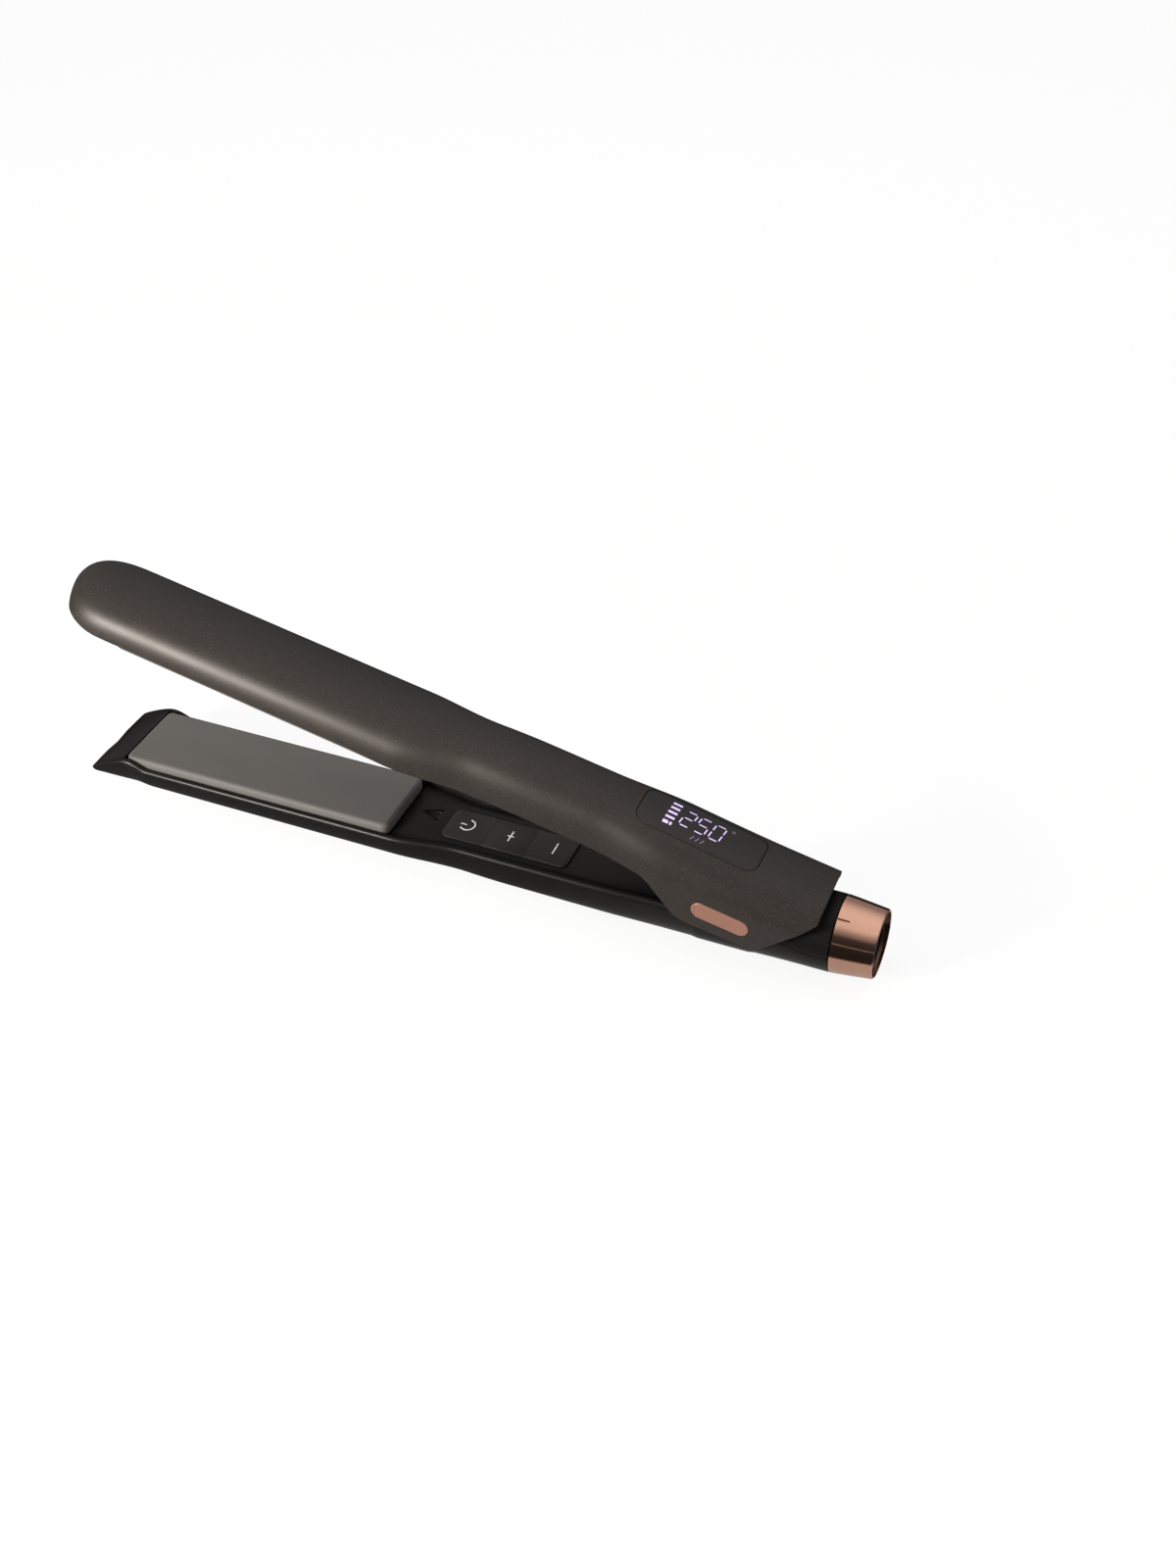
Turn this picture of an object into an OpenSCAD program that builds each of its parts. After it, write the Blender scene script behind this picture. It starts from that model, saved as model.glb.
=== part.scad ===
// Hair straightener (flat iron) with two spring-opened arms, floating heated
// plates, three keys, a temperature display, a turning collar and a cord swivel.
// Origin: on the face that the iron rests on, straight below the arm hinge. +X runs
// back to the cord end, -X to the tip, +Z is up. The modules below are written about
// the hinge axis, which lies hinge_z above the resting face, and place() lifts them.
// The lower arm lies level; the upper arm is drawn opened by open_angle.

/* [Plates] */
// Length of each heated plate
plate_len = 104.8; // [95:0.1:106]
// Flat working width of each heated plate
plate_w = 28; // [24:0.5:28]
// Distance from the hinge axis to the front end of the plates
plate_front = 225.4; // [218:0.1:225.4]

/* [Arms] */
// Angle between the arms at rest
open_angle = 12.4; // [6:0.1:12.5]
// Half width of both arms beside the plates
head_w = 17.2; // [17:0.1:18]
// Half width of both arms in the grip
grip_w = 13.9; // [13.8:0.1:14.6]
// Half width over the hinge cheeks
cheek_w = 16; // [15.9:0.1:16.4]
// Wall thickness of the shells
wall = 1.9; // [1.6:0.1:2]
// Distance from the hinge axis to the nose of the upper arm
nose_up = 248; // [246:0.5:248.5]
// Distance from the hinge axis to the nose of the lower arm
nose_low = 240; // [239:0.5:242]
// Height of the upper crown beside the plates
crown_head = 17.6; // [17:0.1:19]
// Height of the upper crown in the grip
crown_grip = 20.4; // [20:0.1:22]
// Height of the upper crown at its rear end
crown_rear = 18.3; // [18:0.1:19]
// Depth of the lower shell beside the plates
depth_head = 17.2; // [16.6:0.1:18]
// Depth of the lower shell in the grip
depth_grip = 20.2; // [20:0.1:21]

/* [Keys] */
// Front end of the key row, measured from the hinge axis
keys_front = 104; // [103:0.5:105]
// Length of one key
key_len = 15.3; // [13:0.1:15.5]
// Width of the key row
key_w = 14.6; // [12:0.2:15]
// Key travel
key_travel = 0.4; // [0.2:0.1:0.4]

/* [Hinge] */
// Radius of the hinge pin
pin_r = 2; // [1.8:0.1:2.2]
// Running clearance of the pin in its bushes
pin_gap = 0.05; // [0.02:0.01:0.08]
// Radius of the hinge barrel
barrel_r = 4.2; // [3.9:0.1:4.3]

/* [Cord end] */
// Height of the collar axis
ring_z = -7.34; // [-7.5:0.02:-7.2]
// Front radius of the collar
ring_r1 = 13.1; // [13:0.05:13.4]
// Rear radius of the collar
ring_r2 = 11.7; // [11.6:0.05:12]
// Front face of the collar
ring_x1 = 35.7; // [35.6:0.1:36.5]
// Length of the collar
ring_len = 14.2; // [13.5:0.1:15]
// Radius of the hole for the cord
cord_r = 3.7; // [2.5:0.1:4.5]

/* [Display] */
// Half length of the display window
win_l = 21.5; // [20:0.5:21.5]
// Half width of the display window
win_w = 8.3; // [7:0.1:8.5]
// Centre of the display window along the arm
win_x = -16.5; // [-18:0.5:-16]

/* [Hidden] */
$fn = 48;

hinge_z = 20;      // height of the hinge axis over the resting face
rim = 3;           // rim of the lower shell below the closing plane
rim_up = 3.7;      // rim of the upper shell above the closing plane
plate_rear = plate_front - plate_len;   // hinge axis to rear end of the plates

contact = 0.02;    // gap between parts that lie on each other
post_gap = 0.05;   // gap between a screw post and the part on it
fit = 0.15;        // gap round keys, window, badges and sleeve

// Heights of the parts that are screwed down
frame_bottom = -9.4;
frame_t = 1.4;
frame_floor = frame_bottom + frame_t;
board_bottom = -11.2;
board_t = 1.6;
board_top = board_bottom + board_t;
bracket_bottom = -14;
bracket_t = 1.2;
display_bottom = 13;
display_t = 1.2;

// Screw places: x for the frames, [x, y] for the others
frame_screws = [-221.2, -123];
board_screws = [[-99, 7], [-60, -7]];
bracket_screws = [[6, 4.6], [6, -4.6]];
display_screws = [[-42.6, 0], [7.6, 0]];

// Colours shared by several pieces
shell_color = [0.16, 0.155, 0.15];
frame_color = [0.09, 0.09, 0.085];
plate_color = [0.4, 0.385, 0.36];
heater_color = [0.75, 0.72, 0.66];
carrier_color = [0.25, 0.24, 0.23];
pad_color = [0.7, 0.3, 0.2];
thermistor_color = [0.2, 0.35, 0.25];
fuse_color = [0.75, 0.75, 0.77];
lead_color = [0.75, 0.1, 0.1];
key_color = [0.2, 0.195, 0.185];
board_color = [0.1, 0.35, 0.2];
badge_color = [0.72, 0.5, 0.42];
screw_color = [0.55, 0.55, 0.57];

/* ---------------- curves ---------------- */
function ramp(from, to, x) = min(1, max(0, (x - from) / (to - from)));
function smooth(from, to, x) = let (t = ramp(from, to, x)) t * t * (3 - 2 * t);

// Superelliptic half section, from height base up to height top, cut off at height cut.
// The number of points is the same for every section, so sections can be skinned.
section_facets = 14;
function section(half_w, base, top, power, cut) =
  let (start = cut > base
      ? asin(min(0.999, pow((cut - base) / (top - base), power / 2))) : 0,
    cut_y = half_w * pow(cos(start), 2 / power),
    foot = cut < base - 0.05 ? half_w : cut_y - min(0.6, cut_y / 2))
  concat([[foot, cut]],
    [for (i = [0 : section_facets])
      let (t = start + (180 - 2 * start) * i / section_facets, c = cos(t), s = max(0, sin(t)))
      [half_w * sign(c) * pow(abs(c), 2 / power),
        max(cut, base + (top - base) * pow(s, 2 / power))]],
    [[-foot, cut]]);

// Falls from 1 at x = start to 0 one length nearer the tip
function nose(x, start, length, power) =
  x > start ? 1 : pow(max(0, 1 - pow(min(1, (start - x) / length), power)), 1 / power);

// Changes of section that both arms share
function waist(x) = smooth(-120, -93, x);             // narrowing behind the plates
function power_of(x) = 2.3 + 0.2 * smooth(-120, -80, x);   // exponent of the section
function neck(x) = smooth(6, 30, x);                  // passage to the round cord end

/* ---------------- form of the upper arm ---------------- */
nose_up_x = -226;          // where the nose begins
nose_up_len = nose_up + nose_up_x;
crown_tip = 9;             // crown height at the very tip
crown_swell = 0.7;         // rise of the crown along the plates
rear_up = 29.5;            // rear end of the upper shell

function half_w_up(x) = nose(x, nose_up_x, nose_up_len, 3)
  * (head_w - (head_w - grip_w) * waist(x) + (cheek_w - grip_w) * smooth(-50, -22, x));
function crown(x) =
  let (height = crown_head + crown_swell * ramp(-230, -122, x)
    + (crown_grip - crown_head - crown_swell) * smooth(-125, -72, x)
    + (crown_rear - crown_grip) * smooth(-46, 12, x))
  crown_tip + (height - crown_tip) * nose(x, nose_up_x, nose_up_len, 4);

// Lower edge of the upper shell round the hinge cheeks: [x, height]
cheek_edge = [
  [-44, rim_up], [-31, 3.5], [-28.5, 3], [-26, 1.9], [-20.3, -2.6],
  [-15.2, -6.5], [-13.4, -7.4], [-11, -7.7], [-8, -7.75], [10.5, -7.1],
  [13.2, -6.5], [15, -5.2], [20.2, 1.3], [25.7, 8.4], [rear_up, 13.2]];
function edge_up(x) = x < -232 ? rim_up + 2.6 * smooth(-232, -nose_up, x)
  : lookup(x, cheek_edge);

/* ---------------- form of the lower arm ---------------- */
nose_low_x = -224;         // where the nose begins
tip_round = 2;             // length of the rounding at the tip
hinge_w = 13.4;            // half width between the hinge cheeks
grip_front_depth = 19.6;   // depth at the front of the grip

// Heights are given here as depths below the closing plane
function tip_w(x) = x < tip_round - nose_low
  ? head_w - 1.6 * (1 - sqrt(max(0, 1 - pow((tip_round - nose_low - x) / tip_round, 2))))
  : head_w;
function half_w_low(x) = tip_w(x) - (head_w - grip_w) * waist(x)
  - (grip_w - hinge_w) * smooth(-45, -22, x) - (hinge_w - ring_r1) * neck(x);
function rim_low(x) = rim - 2.5 * smooth(-216, -224, x)
  + 7 * pow(ramp(-225, -nose_low, x), 1.25)
  + 2.3 * smooth(-12, -9, x) * (1 - smooth(8, 11, x))
  + (-ring_z - rim) * smooth(9, 30, x);
function depth(x) =
  let (full = depth_head - 0.7 * ramp(-125, -230, x)
      + (grip_front_depth - depth_head) * smooth(-125, -75, x)
      + (depth_grip - grip_front_depth) * ramp(-75, -30, x)
      + (ring_r1 - ring_z - depth_grip) * neck(x),
    least = rim_low(x) + 2.5)
  least + (full - least) * nose(x, nose_low_x, nose_low + nose_low_x + 0.01, 2.4);

/* ---------------- stations along X ---------------- */
waist_stations = [for (i = [0 : 8]) -122 + 4.5 * i];
neck_stations = [11, 14, 17, 20, 23, 26, 30, 35.5];
stations_up = concat(
  [for (i = [1 : 9]) -nose_up + nose_up_len * (1 - cos(i * 10))],
  [-222, -180, -140], waist_stations,
  [-78, -66, -52, -44, -37, -31, -28.5, -26, -20.3, -15.2, -13.4, -11, -8, 0,
    10.5, 13.2, 15, 20.2, 25.7, rear_up]);
stations_low = concat(
  [for (i = [1 : 5]) -nose_low + tip_round * (1 - cos(i * 18))],
  [-236, -233.5, -231, -228.5, -226, -224.5, -223, -221, -219, -217.5, -216, -180, -140],
  waist_stations, [-78, -60, -45, -34, -22, -12, -9, 0, 8], neck_stations);
function between(list, low, high) = [for (x = list) if (x >= low && x <= high) x];

/* ---------------- building helpers ---------------- */
// Closed skin over count rings of size points each, listed ring after ring
module skin(points, count, size) polyhedron(points, concat(
  [[for (j = [0 : size - 1]) j]],
  [[for (j = [0 : size - 1]) (count - 1) * size + size - 1 - j]],
  [for (i = [0 : count - 2], j = [0 : size - 1])
    [i * size + j, (i + 1) * size + j, (i + 1) * size + (j + 1) % size]],
  [for (i = [0 : count - 2], j = [0 : size - 1])
    [i * size + j, (i + 1) * size + (j + 1) % size, i * size + (j + 1) % size]]),
  convexity = 10);
// Skin through cross sections that stand at the places in xs
module loft(xs, rings) skin(
  [for (i = [0 : len(xs) - 1], point = rings[i]) [xs[i], point[0], point[1]]],
  len(xs), len(rings[0]));
// Thin cross section at x
module slice(x, points)
  translate([x, 0, 0]) rotate([90, 0, 90]) linear_extrude(0.02) polygon(points);
// Outline along xs between two lists of ordinates
function band(xs, first, second) = concat(
  [for (i = [0 : len(xs) - 1]) [xs[i], first[i]]],
  [for (i = [len(xs) - 1 : -1 : 0]) [xs[i], second[i]]]);
module rounded_rect(length, width, corner) {
  square([length, width - 2 * corner], center = true);
  square([length - 2 * corner, width], center = true);
  for (i = [-1, 1], j = [-1, 1])
    translate([i * (length / 2 - corner), j * (width / 2 - corner)]) circle(corner);
}
// Turns the children's Z axis across the arm, at place y
module across(y) translate([0, y, 0]) rotate([90, 0, 0]) children();
// Turns the children's Z axis to +X, on the collar axis
module on_ring_axis() translate([0, 0, ring_z]) rotate([0, 90, 0]) children();
module open_arm() rotate([0, open_angle, 0]) children();
// Parts of the lower arm, mirrored and opened when they go in the upper arm
module in_arm(upper) if (upper) open_arm() mirror([0, 0, 1]) children(); else children();

/* ---------------- shells ---------------- */
shell_reach = 26;      // height beyond both shells, from which the posts start
screw_hole_r = 1.05;

// Rings drawn in by inset, with the open side carried past the rim
function ring_up(x, inset, past) = section(max(0.6, half_w_up(x) - inset), rim_up,
  max(8, crown(x) - inset), power_of(x), edge_up(x) - past);
function ring_low(x, inset, past) = section(half_w_low(x) - inset, rim_low(x),
  max(rim_low(x) + 1, depth(x) - inset),
  power_of(x) - 0.5 * neck(x) + (inset > 0 ? 0.15 : 0), rim_low(x) - past);
module upper_outer() loft(stations_up, [for (x = stations_up) ring_up(x, 0, 0)]);
module upper_inner() {
  xs = concat(between(stations_up, -244, 100), [rear_up + 1.5]);
  loft(xs, [for (x = xs) ring_up(min(x, rear_up), wall, 3)]);
}
module lower_outer() mirror([0, 0, 1])
  loft(stations_low, [for (x = stations_low) ring_low(x, 0, 0)]);
module lower_inner() {
  xs = between(stations_low, 1.95 - nose_low, 26);
  mirror([0, 0, 1]) loft(xs, [for (x = xs) ring_low(x, wall, 3)]);
}

// Screw posts: [x, y, height of the free end]
posts_low = concat(
  [for (p = bracket_screws) [p.x, p.y, bracket_bottom - post_gap]],
  [for (p = board_screws) [p.x, p.y, board_bottom - post_gap]],
  [for (x = frame_screws) [x, 0, frame_bottom - post_gap]]);
// The same for the upper shell, with the length of the screw hole added
posts_up = concat(
  [for (p = display_screws) [p.x, p.y, display_bottom + display_t + post_gap, 4.05]],
  [for (x = frame_screws) [x, 0, -frame_bottom + post_gap, 5.4]]);
// A foot on the wall and a plain top
module post(height) hull() {
  translate([0, 0, -0.01]) cylinder(r = 2.8, h = 0.01, $fn = 20);
  cylinder(r = 2.2, h = height, $fn = 20);
}

module lower_shell() color(shell_color) difference() {
  lower_outer();
  // hollow, less the screw posts that stand on the floor
  difference() {
    lower_inner();
    for (p = posts_low) translate([p.x, p.y, -shell_reach]) post(shell_reach + p.z);
  }
  for (p = posts_low)
    translate([p.x, p.y, p.z - 4.4]) cylinder(r = screw_hole_r, h = 6, $fn = 20);
  sleeve_seat($fn = 56);
  // level strip that the iron rests on
  translate([-62, -20, -hinge_z - 20]) cube([90, 40, 20]);
  // vent slots under the control board
  for (i = [0 : 4]) hull() for (side = [-1, 1])
    translate([-92 + i * 7, 3 * side, -24]) cylinder(r = 0.9, h = 10, $fn = 12);
}
module upper_shell() color(shell_color) open_arm() difference() {
  upper_outer();
  // hollow, less the bosses round the hinge bushes and the screw posts
  difference() {
    upper_inner();
    for (side = [-1, 1]) across(side * 14.75) hull() {
      cylinder(r = 6, h = 2, center = true, $fn = 32);
      cylinder(r = 6.8, h = 1.2, center = true, $fn = 32);
    }
    for (p = posts_up)
      translate([p.x, p.y, shell_reach]) mirror([0, 0, 1]) post(shell_reach - p.z);
  }
  for (p = posts_up)
    translate([p.x, p.y, p.z - 1]) cylinder(r = screw_hole_r, h = p[3], $fn = 20);
  // seats of the bushes and the badges
  for (side = [-1, 1]) {
    across(side * bush_y) cylinder(r = bush_r + 0.06, h = 2.6, center = true, $fn = 40);
    across(side * 16.2) hull() for (end = [-1, 1])
      translate([end * (badge_l - badge_r), 0, -1])
        cylinder(r = badge_r + fit, h = 2, $fn = 32);
  }
  // opening for the display window
  translate([0, 0, 10]) linear_extrude(20) hull() window_2d(fit);
}

/* ---------------- frames inside the rims ---------------- */
frame_front = -227;
frame_w = 24.4;
tray_top = -4.4;           // tray of the grip, in the lower arm
lead_y = 4;                // leads between plate and grip
lead_z = -7.2;
lead_r = 0.75;

frame_nose_low = [-236.6, -235, -233, -231, -229, -227.5, -225.8];
frame_nose_up = [-242, -240.5, -239, -237, -235, -232, -229, -225.8];
tray_front = concat([for (i = [0 : 6]) -plate_rear + 0.5 + i * 4.5], [-78]);
tray_low = concat(tray_front, [-60, -45, -34, -22, -20]);
tray_up = concat(tray_front, [-52, -40, -31, -22, -6.5]);

// Half width of the frame's nose inside the rim
function frame_nose_w(x, upper) = -0.12
  + (upper ? 0.965 * (half_w_up(x) - wall) : 0.985 * (half_w_low(x) - wall));
// Distance of the rim from the closing plane
function rim_at(x, upper) = upper ? edge_up(x) : rim_low(x);
function tray_w(x, upper) = -wall - 0.35
  + min(upper ? half_w_up(x) : 99, x < -50 || !upper ? half_w_low(x) : 99);

// Nose of the frame, flush with the rim of the shell
module frame_nose(upper) {
  xs = upper ? frame_nose_up : frame_nose_low;
  rims = [for (x = xs) rim_at(x, upper)];
  widths = [for (x = xs) frame_nose_w(x, upper)];
  intersection() {
    rotate([90, 0, 0]) translate([0, 0, -20]) linear_extrude(40)
      polygon(band(xs, [for (z = rims) -z - 0.02], [for (z = rims) -z - 1.3]));
    translate([0, 0, -20]) linear_extrude(40) polygon(band(xs, widths, -widths));
  }
}
module frame_tray(upper) {
  xs = upper ? tray_up : tray_low;
  widths = [for (x = xs) tray_w(x, upper)];
  translate([0, 0, tray_top - frame_t]) linear_extrude(frame_t)
    polygon(band(xs, widths, -widths));
}
// Cross wall or floor that stands on the underside of the frame
module frame_block(x, length, height)
  translate([x, -frame_w / 2, frame_bottom]) cube([length, frame_w, height]);

module frame(upper) in_arm(upper) difference() {
  union() {
    frame_nose(upper);
    frame_block(frame_front, 1.2, upper ? 5.2 : 7.8);
    // floor under the plate
    frame_block(frame_front, 108.3, frame_t);
    // wall between plate and grip
    frame_block(-plate_rear + 0.5, 1.4, 5);
    frame_tray(upper);
  }
  if (!upper) {
    // window of the key row
    translate([0, 0, -10]) linear_extrude(10) key_row_2d(fit, 2.4);
    // three-sided vent recess between plate and keys, with ribs on its floor
    difference() {
      translate([-keys_front, 0, -5.2]) linear_extrude(3)
        polygon([[-11.5, 2.4], [-4.4, -1.3], [-4.4, 6.1]]);
      for (y = [0.5, 2.4, 4.3])
        translate([-keys_front - 12, y - 0.2, -5.3]) cube([8, 0.4, 0.45]);
    }
  }
  // clearance for screws and leads
  for (x = frame_screws) translate([x, 0, -12]) cylinder(r = 1.3, h = 6);
  for (side = [-1, 1])
    translate([-122, side * lead_y, lead_z]) rotate([0, 90, 0]) cylinder(r = 1.2, h = 5);
}
module lower_frame() color(frame_color) frame(false);
module upper_frame() color(frame_color) frame(true);

/* ---------------- heated plates ---------------- */
carrier_bottom = -6.6;

// Rounded plate with a skirt down each long side
module plate() {
  half_w = plate_w / 2 + 0.7;
  corner = 1.5;
  skirt = 1.5;
  top = -0.05;
  translate([-plate_front, 0, 0]) rotate([90, 0, 90]) linear_extrude(plate_len) difference() {
    union() {
      translate([-half_w + corner, -2.2]) square([2 * (half_w - corner), 2.15]);
      for (side = [-1, 1]) {
        translate([side * (half_w - corner), top - corner]) circle(corner);
        translate([side * (half_w - skirt / 2) - skirt / 2, -4.2]) square([skirt, 2.6]);
      }
    }
    translate([-half_w + skirt, -5]) square([2 * (half_w - skirt), 5 - 1.85]);
  }
}
module heater() translate([-plate_front + 10.5, -9, -4.3]) cube([plate_len - 21, 18, 2.4]);
module carrier() difference() {
  translate([-plate_front + 1, -13.4, carrier_bottom]) cube([plate_len - 2, 26.8, 2.2]);
  for (x = frame_screws) translate([x, 0, -7]) cylinder(r = 2.6, h = 4);
}
// Four square pads between the frame floor and the carrier
module pads() for (x = [-208, -150], side = [-1, 1])
  translate([x - 4, side * 8 - 4, frame_floor + contact])
    cube([8, 8, carrier_bottom - frame_floor - 2 * contact]);
module thermistor() translate([-plate_rear - 9, -5, -3.2]) rotate([0, 90, 0]) {
  cylinder(r = 1, h = 5);
  sphere(1);
}
module fuse() translate([-plate_rear - 9.5, 4.5, -3.1]) rotate([0, 90, 0]) {
  cylinder(r = 1.15, h = 5.5);
  translate([0, 0, -0.6]) cylinder(r = 0.5, h = 6.9);
}
module lower_plate() color(plate_color) plate();
module lower_heater() color(heater_color) heater();
module lower_carrier() color(carrier_color) carrier();
module lower_pads() color(pad_color) pads();
module lower_thermistor() color(thermistor_color) thermistor();
module lower_fuse() color(fuse_color) fuse();
module upper_plate() color(plate_color) in_arm(true) plate();
module upper_heater() color(heater_color) in_arm(true) heater();
module upper_carrier() color(carrier_color) in_arm(true) carrier();
module upper_pads() color(pad_color) in_arm(true) pads();
module upper_thermistor() color(thermistor_color) in_arm(true) thermistor();
module upper_fuse() color(fuse_color) in_arm(true) fuse();

/* ---------------- leads ---------------- */
// Round lead swept along a path that runs mainly along X
module lead(path) {
  sides = 8;
  last = len(path) - 1;
  skin([for (i = [0 : last], j = [0 : sides - 1])
    let (step = path[min(last, i + 1)] - path[max(0, i - 1)],
      along = step / norm(step),
      normal = cross(along, [0, 1, 0]),
      up = normal / norm(normal),
      turn = 360 * j / sides)
    path[i] + lead_r * (cos(turn) * cross(up, along) + sin(turn) * up)], last + 1, sides);
}
// Points of a smooth run between two heights
function run(x1, x2, z1, z2, y) = [for (i = [0 : 5])
  let (x = x1 + (x2 - x1) * i / 5) [x, y, z1 + (z2 - z1) * smooth(x1, x2, x)]];

module lower_leads() color(lead_color) for (y = [-lead_y, lead_y])
  lead(concat([[-120.8, y, lead_z]], run(-117.5, -106.9, lead_z, -10.4, y)));
module mains_leads() color([0.15, 0.2, 0.5]) for (y = [-0.85, 0.85])
  lead(concat(run(-49, -36, -12.5, -16.3, y), run(12, 24.4, -16.3, -12, y)));
module upper_leads() color(lead_color) open_arm() for (y = [-lead_y, lead_y])
  lead(concat([[-120.8, y, -lead_z]], run(-117.5, -100, -lead_z, 9, y),
    run(-70, -46.6, 9, 13.4, y)));

/* ---------------- keys and electronics of the grip ---------------- */
key_pitch = key_len + fit;
key_row_len = 3 * key_len + 0.6;
function key_start(i) = -keys_front + i * key_pitch;
module key_row_2d(gap, corner) translate([key_row_len / 2 - keys_front, 0])
  rounded_rect(key_row_len + 2 * gap, key_w + 2 * gap, corner);

module key(i) color(key_color) {
  front_extra = i == 0 ? 0.1 : 0;
  rear_extra = i == 2 ? 0.3 : 0;
  // outer keys share the rounded ends of the row
  intersection() {
    translate([0, 0, -6]) linear_extrude(2.1) key_row_2d(0, 2.2);
    translate([key_start(i) - front_extra, -10, -7])
      cube([key_len + front_extra + rear_extra, 20, 4]);
  }
  // flange that holds the key under the tray
  translate([key_start(i) + 0.4, -key_w / 2 - 0.9, -6.9])
    cube([key_len - 0.8, key_w + 1.8, 0.9]);
}
module power_key() key(0);
module plus_key() key(1);
module minus_key() key(2);

module control_board() color(board_color) difference() {
  translate([-106, -9.8, board_bottom]) cube([56, 19.6, board_t]);
  for (p = board_screws) translate([p.x, p.y, -12]) cylinder(r = 1.2, h = 3);
}
module tact_switches() color([0.7, 0.7, 0.7]) for (i = [0 : 2])
  translate([key_start(i) + key_len / 2, 0, 0]) {
    translate([-3, -3, board_top + contact]) cube([6, 6, 1.7]);
    translate([0, 0, -7.9]) cylinder(r = 1.6, h = 0.9 - key_travel);
  }
// Blocks under the board: [x, y, length, width, height]
board_blocks = [[-96, -6, 9, 9, 4.18], [-74, -7, 7, 10, 3.18], [-58, -5, 6, 10, 3.58]];
module board_parts() color([0.15, 0.15, 0.15]) translate([0, 0, board_bottom - contact]) {
  for (b = board_blocks) translate([b[0], b[1], -b[4]]) cube([b[2], b[3], b[4]]);
  translate([-80, 1.5, -4.58]) cylinder(r = 2.8, h = 4.58);
}

/* ---------------- hinge ---------------- */
bush_r = 4;
bush_y = 14.4;
spring_x = -13.5;

module hinge_bracket() color([0.6, 0.6, 0.62]) difference() {
  union() {
    across(0) cylinder(r = barrel_r, h = 26.6, center = true);
    // two uprights on a base
    for (side = [-1, 1]) translate([-3.6, side * 7 - 1.1, -13]) cube([7.2, 2.2, 13]);
    translate([-9, -7.6, bracket_bottom]) cube([18.5, 15.2, bracket_t]);
    // tongue and peg under the spring
    translate([-19, -4.5, bracket_bottom]) cube([15.2, 9, 2]);
    translate([spring_x, 0, -12]) cylinder(r = 2.1, h = 3);
  }
  across(0) cylinder(r = pin_r + 0.01, h = 40, center = true);
  for (p = bracket_screws) translate([p.x, p.y, -16]) cylinder(r = 1.3, h = 4);
}
module hinge_pin() color([0.8, 0.8, 0.82])
  across(0) cylinder(r = pin_r, h = 30, center = true);
module hinge_bushes() color([0.75, 0.6, 0.35]) open_arm() for (side = [-1, 1])
  across(side * bush_y) difference() {
    cylinder(r = bush_r, h = 1.3, center = true);
    cylinder(r = pin_r + pin_gap, h = 4, center = true);
  }

// Compression spring between the bracket and the frame of the upper arm
spring_r = 3;              // coil radius at the middle of the wire
wire_r = 0.45;
spring_turns = 6;
spring_bottom = -11.5;     // middle of the wire at the lower end
// the coil's edge nearest the hinge meets the underside of the opened tray first
spring_edge = -spring_x - spring_r - wire_r;
spring_top = (-tray_top + spring_edge * sin(open_angle)) / cos(open_angle) - wire_r - 0.1;
// Share of the height reached after share u of the turns. At each end a share
// end_turn of the turns lies closed and takes up share end_rise of the height.
function rise(u, end_turn, end_rise) = u < end_turn ? u * end_rise / end_turn
  : u > 1 - end_turn ? 1 - (1 - u) * end_rise / end_turn
  : end_rise + (u - end_turn) / (1 - 2 * end_turn) * (1 - 2 * end_rise);
module opening_spring() {
  turn_steps = 12;
  sides = 8;
  steps = spring_turns * turn_steps;
  height = spring_top - spring_bottom;
  color([0.75, 0.75, 0.78]) skin([for (i = [0 : steps], j = [0 : sides - 1])
    let (turn = 360 * i / turn_steps, q = -360 * j / sides, r = spring_r + wire_r * cos(q))
    [spring_x + r * cos(turn), r * sin(turn), wire_r * sin(q)
      + spring_bottom + height * rise(i / steps, 1 / spring_turns, 0.95 / height)]],
    steps + 1, sides);
}

/* ---------------- cord end ---------------- */
sleeve_r = 9.95;
sleeve_flange_r = 10.8;
step_x = 47.1;             // step in the collar's bore
notch_angle = 27;

module sleeve_seat() translate([25.5, 0, 0]) on_ring_axis()
  cylinder(r = sleeve_r + fit, h = 20);
// Section of the cover that closes the neck, carried drop below the rim
function cover_section(x, inset, drop) =
  let (base = -rim_low(x) + 0.03,
    top = -2.4 + (2.4 + ring_z + ring_r1) * smooth(7, 30, x) - inset)
  section(half_w_low(x) - inset, base, max(base + 0.5, top), 2.3 - 0.3 * neck(x), base - drop);
module neck_cover() color([0.14, 0.135, 0.13]) difference() {
  stations = neck_stations;
  for (i = [0 : len(stations) - 2]) hull() for (x = [stations[i], stations[i + 1]])
    slice(x - (x > 35 ? 0.02 : 0), cover_section(x, 0, 0));
  for (i = [0 : len(stations) - 4]) hull() for (x = [stations[i], stations[i + 1]])
    slice(x == 11 ? 10.9 : x, cover_section(x, wall, 2));
  sleeve_seat($fn = 40);
}
module neck_sleeve() color([0.12, 0.12, 0.12]) on_ring_axis() difference() {
  union() {
    translate([0, 0, 27.1]) cylinder(r = sleeve_r, h = 21.3);
    translate([0, 0, step_x + 0.1]) cylinder(r = sleeve_flange_r, h = 1.2);
  }
  translate([0, 0, 20]) cylinder(r = 7.6, h = 40);
}
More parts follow.
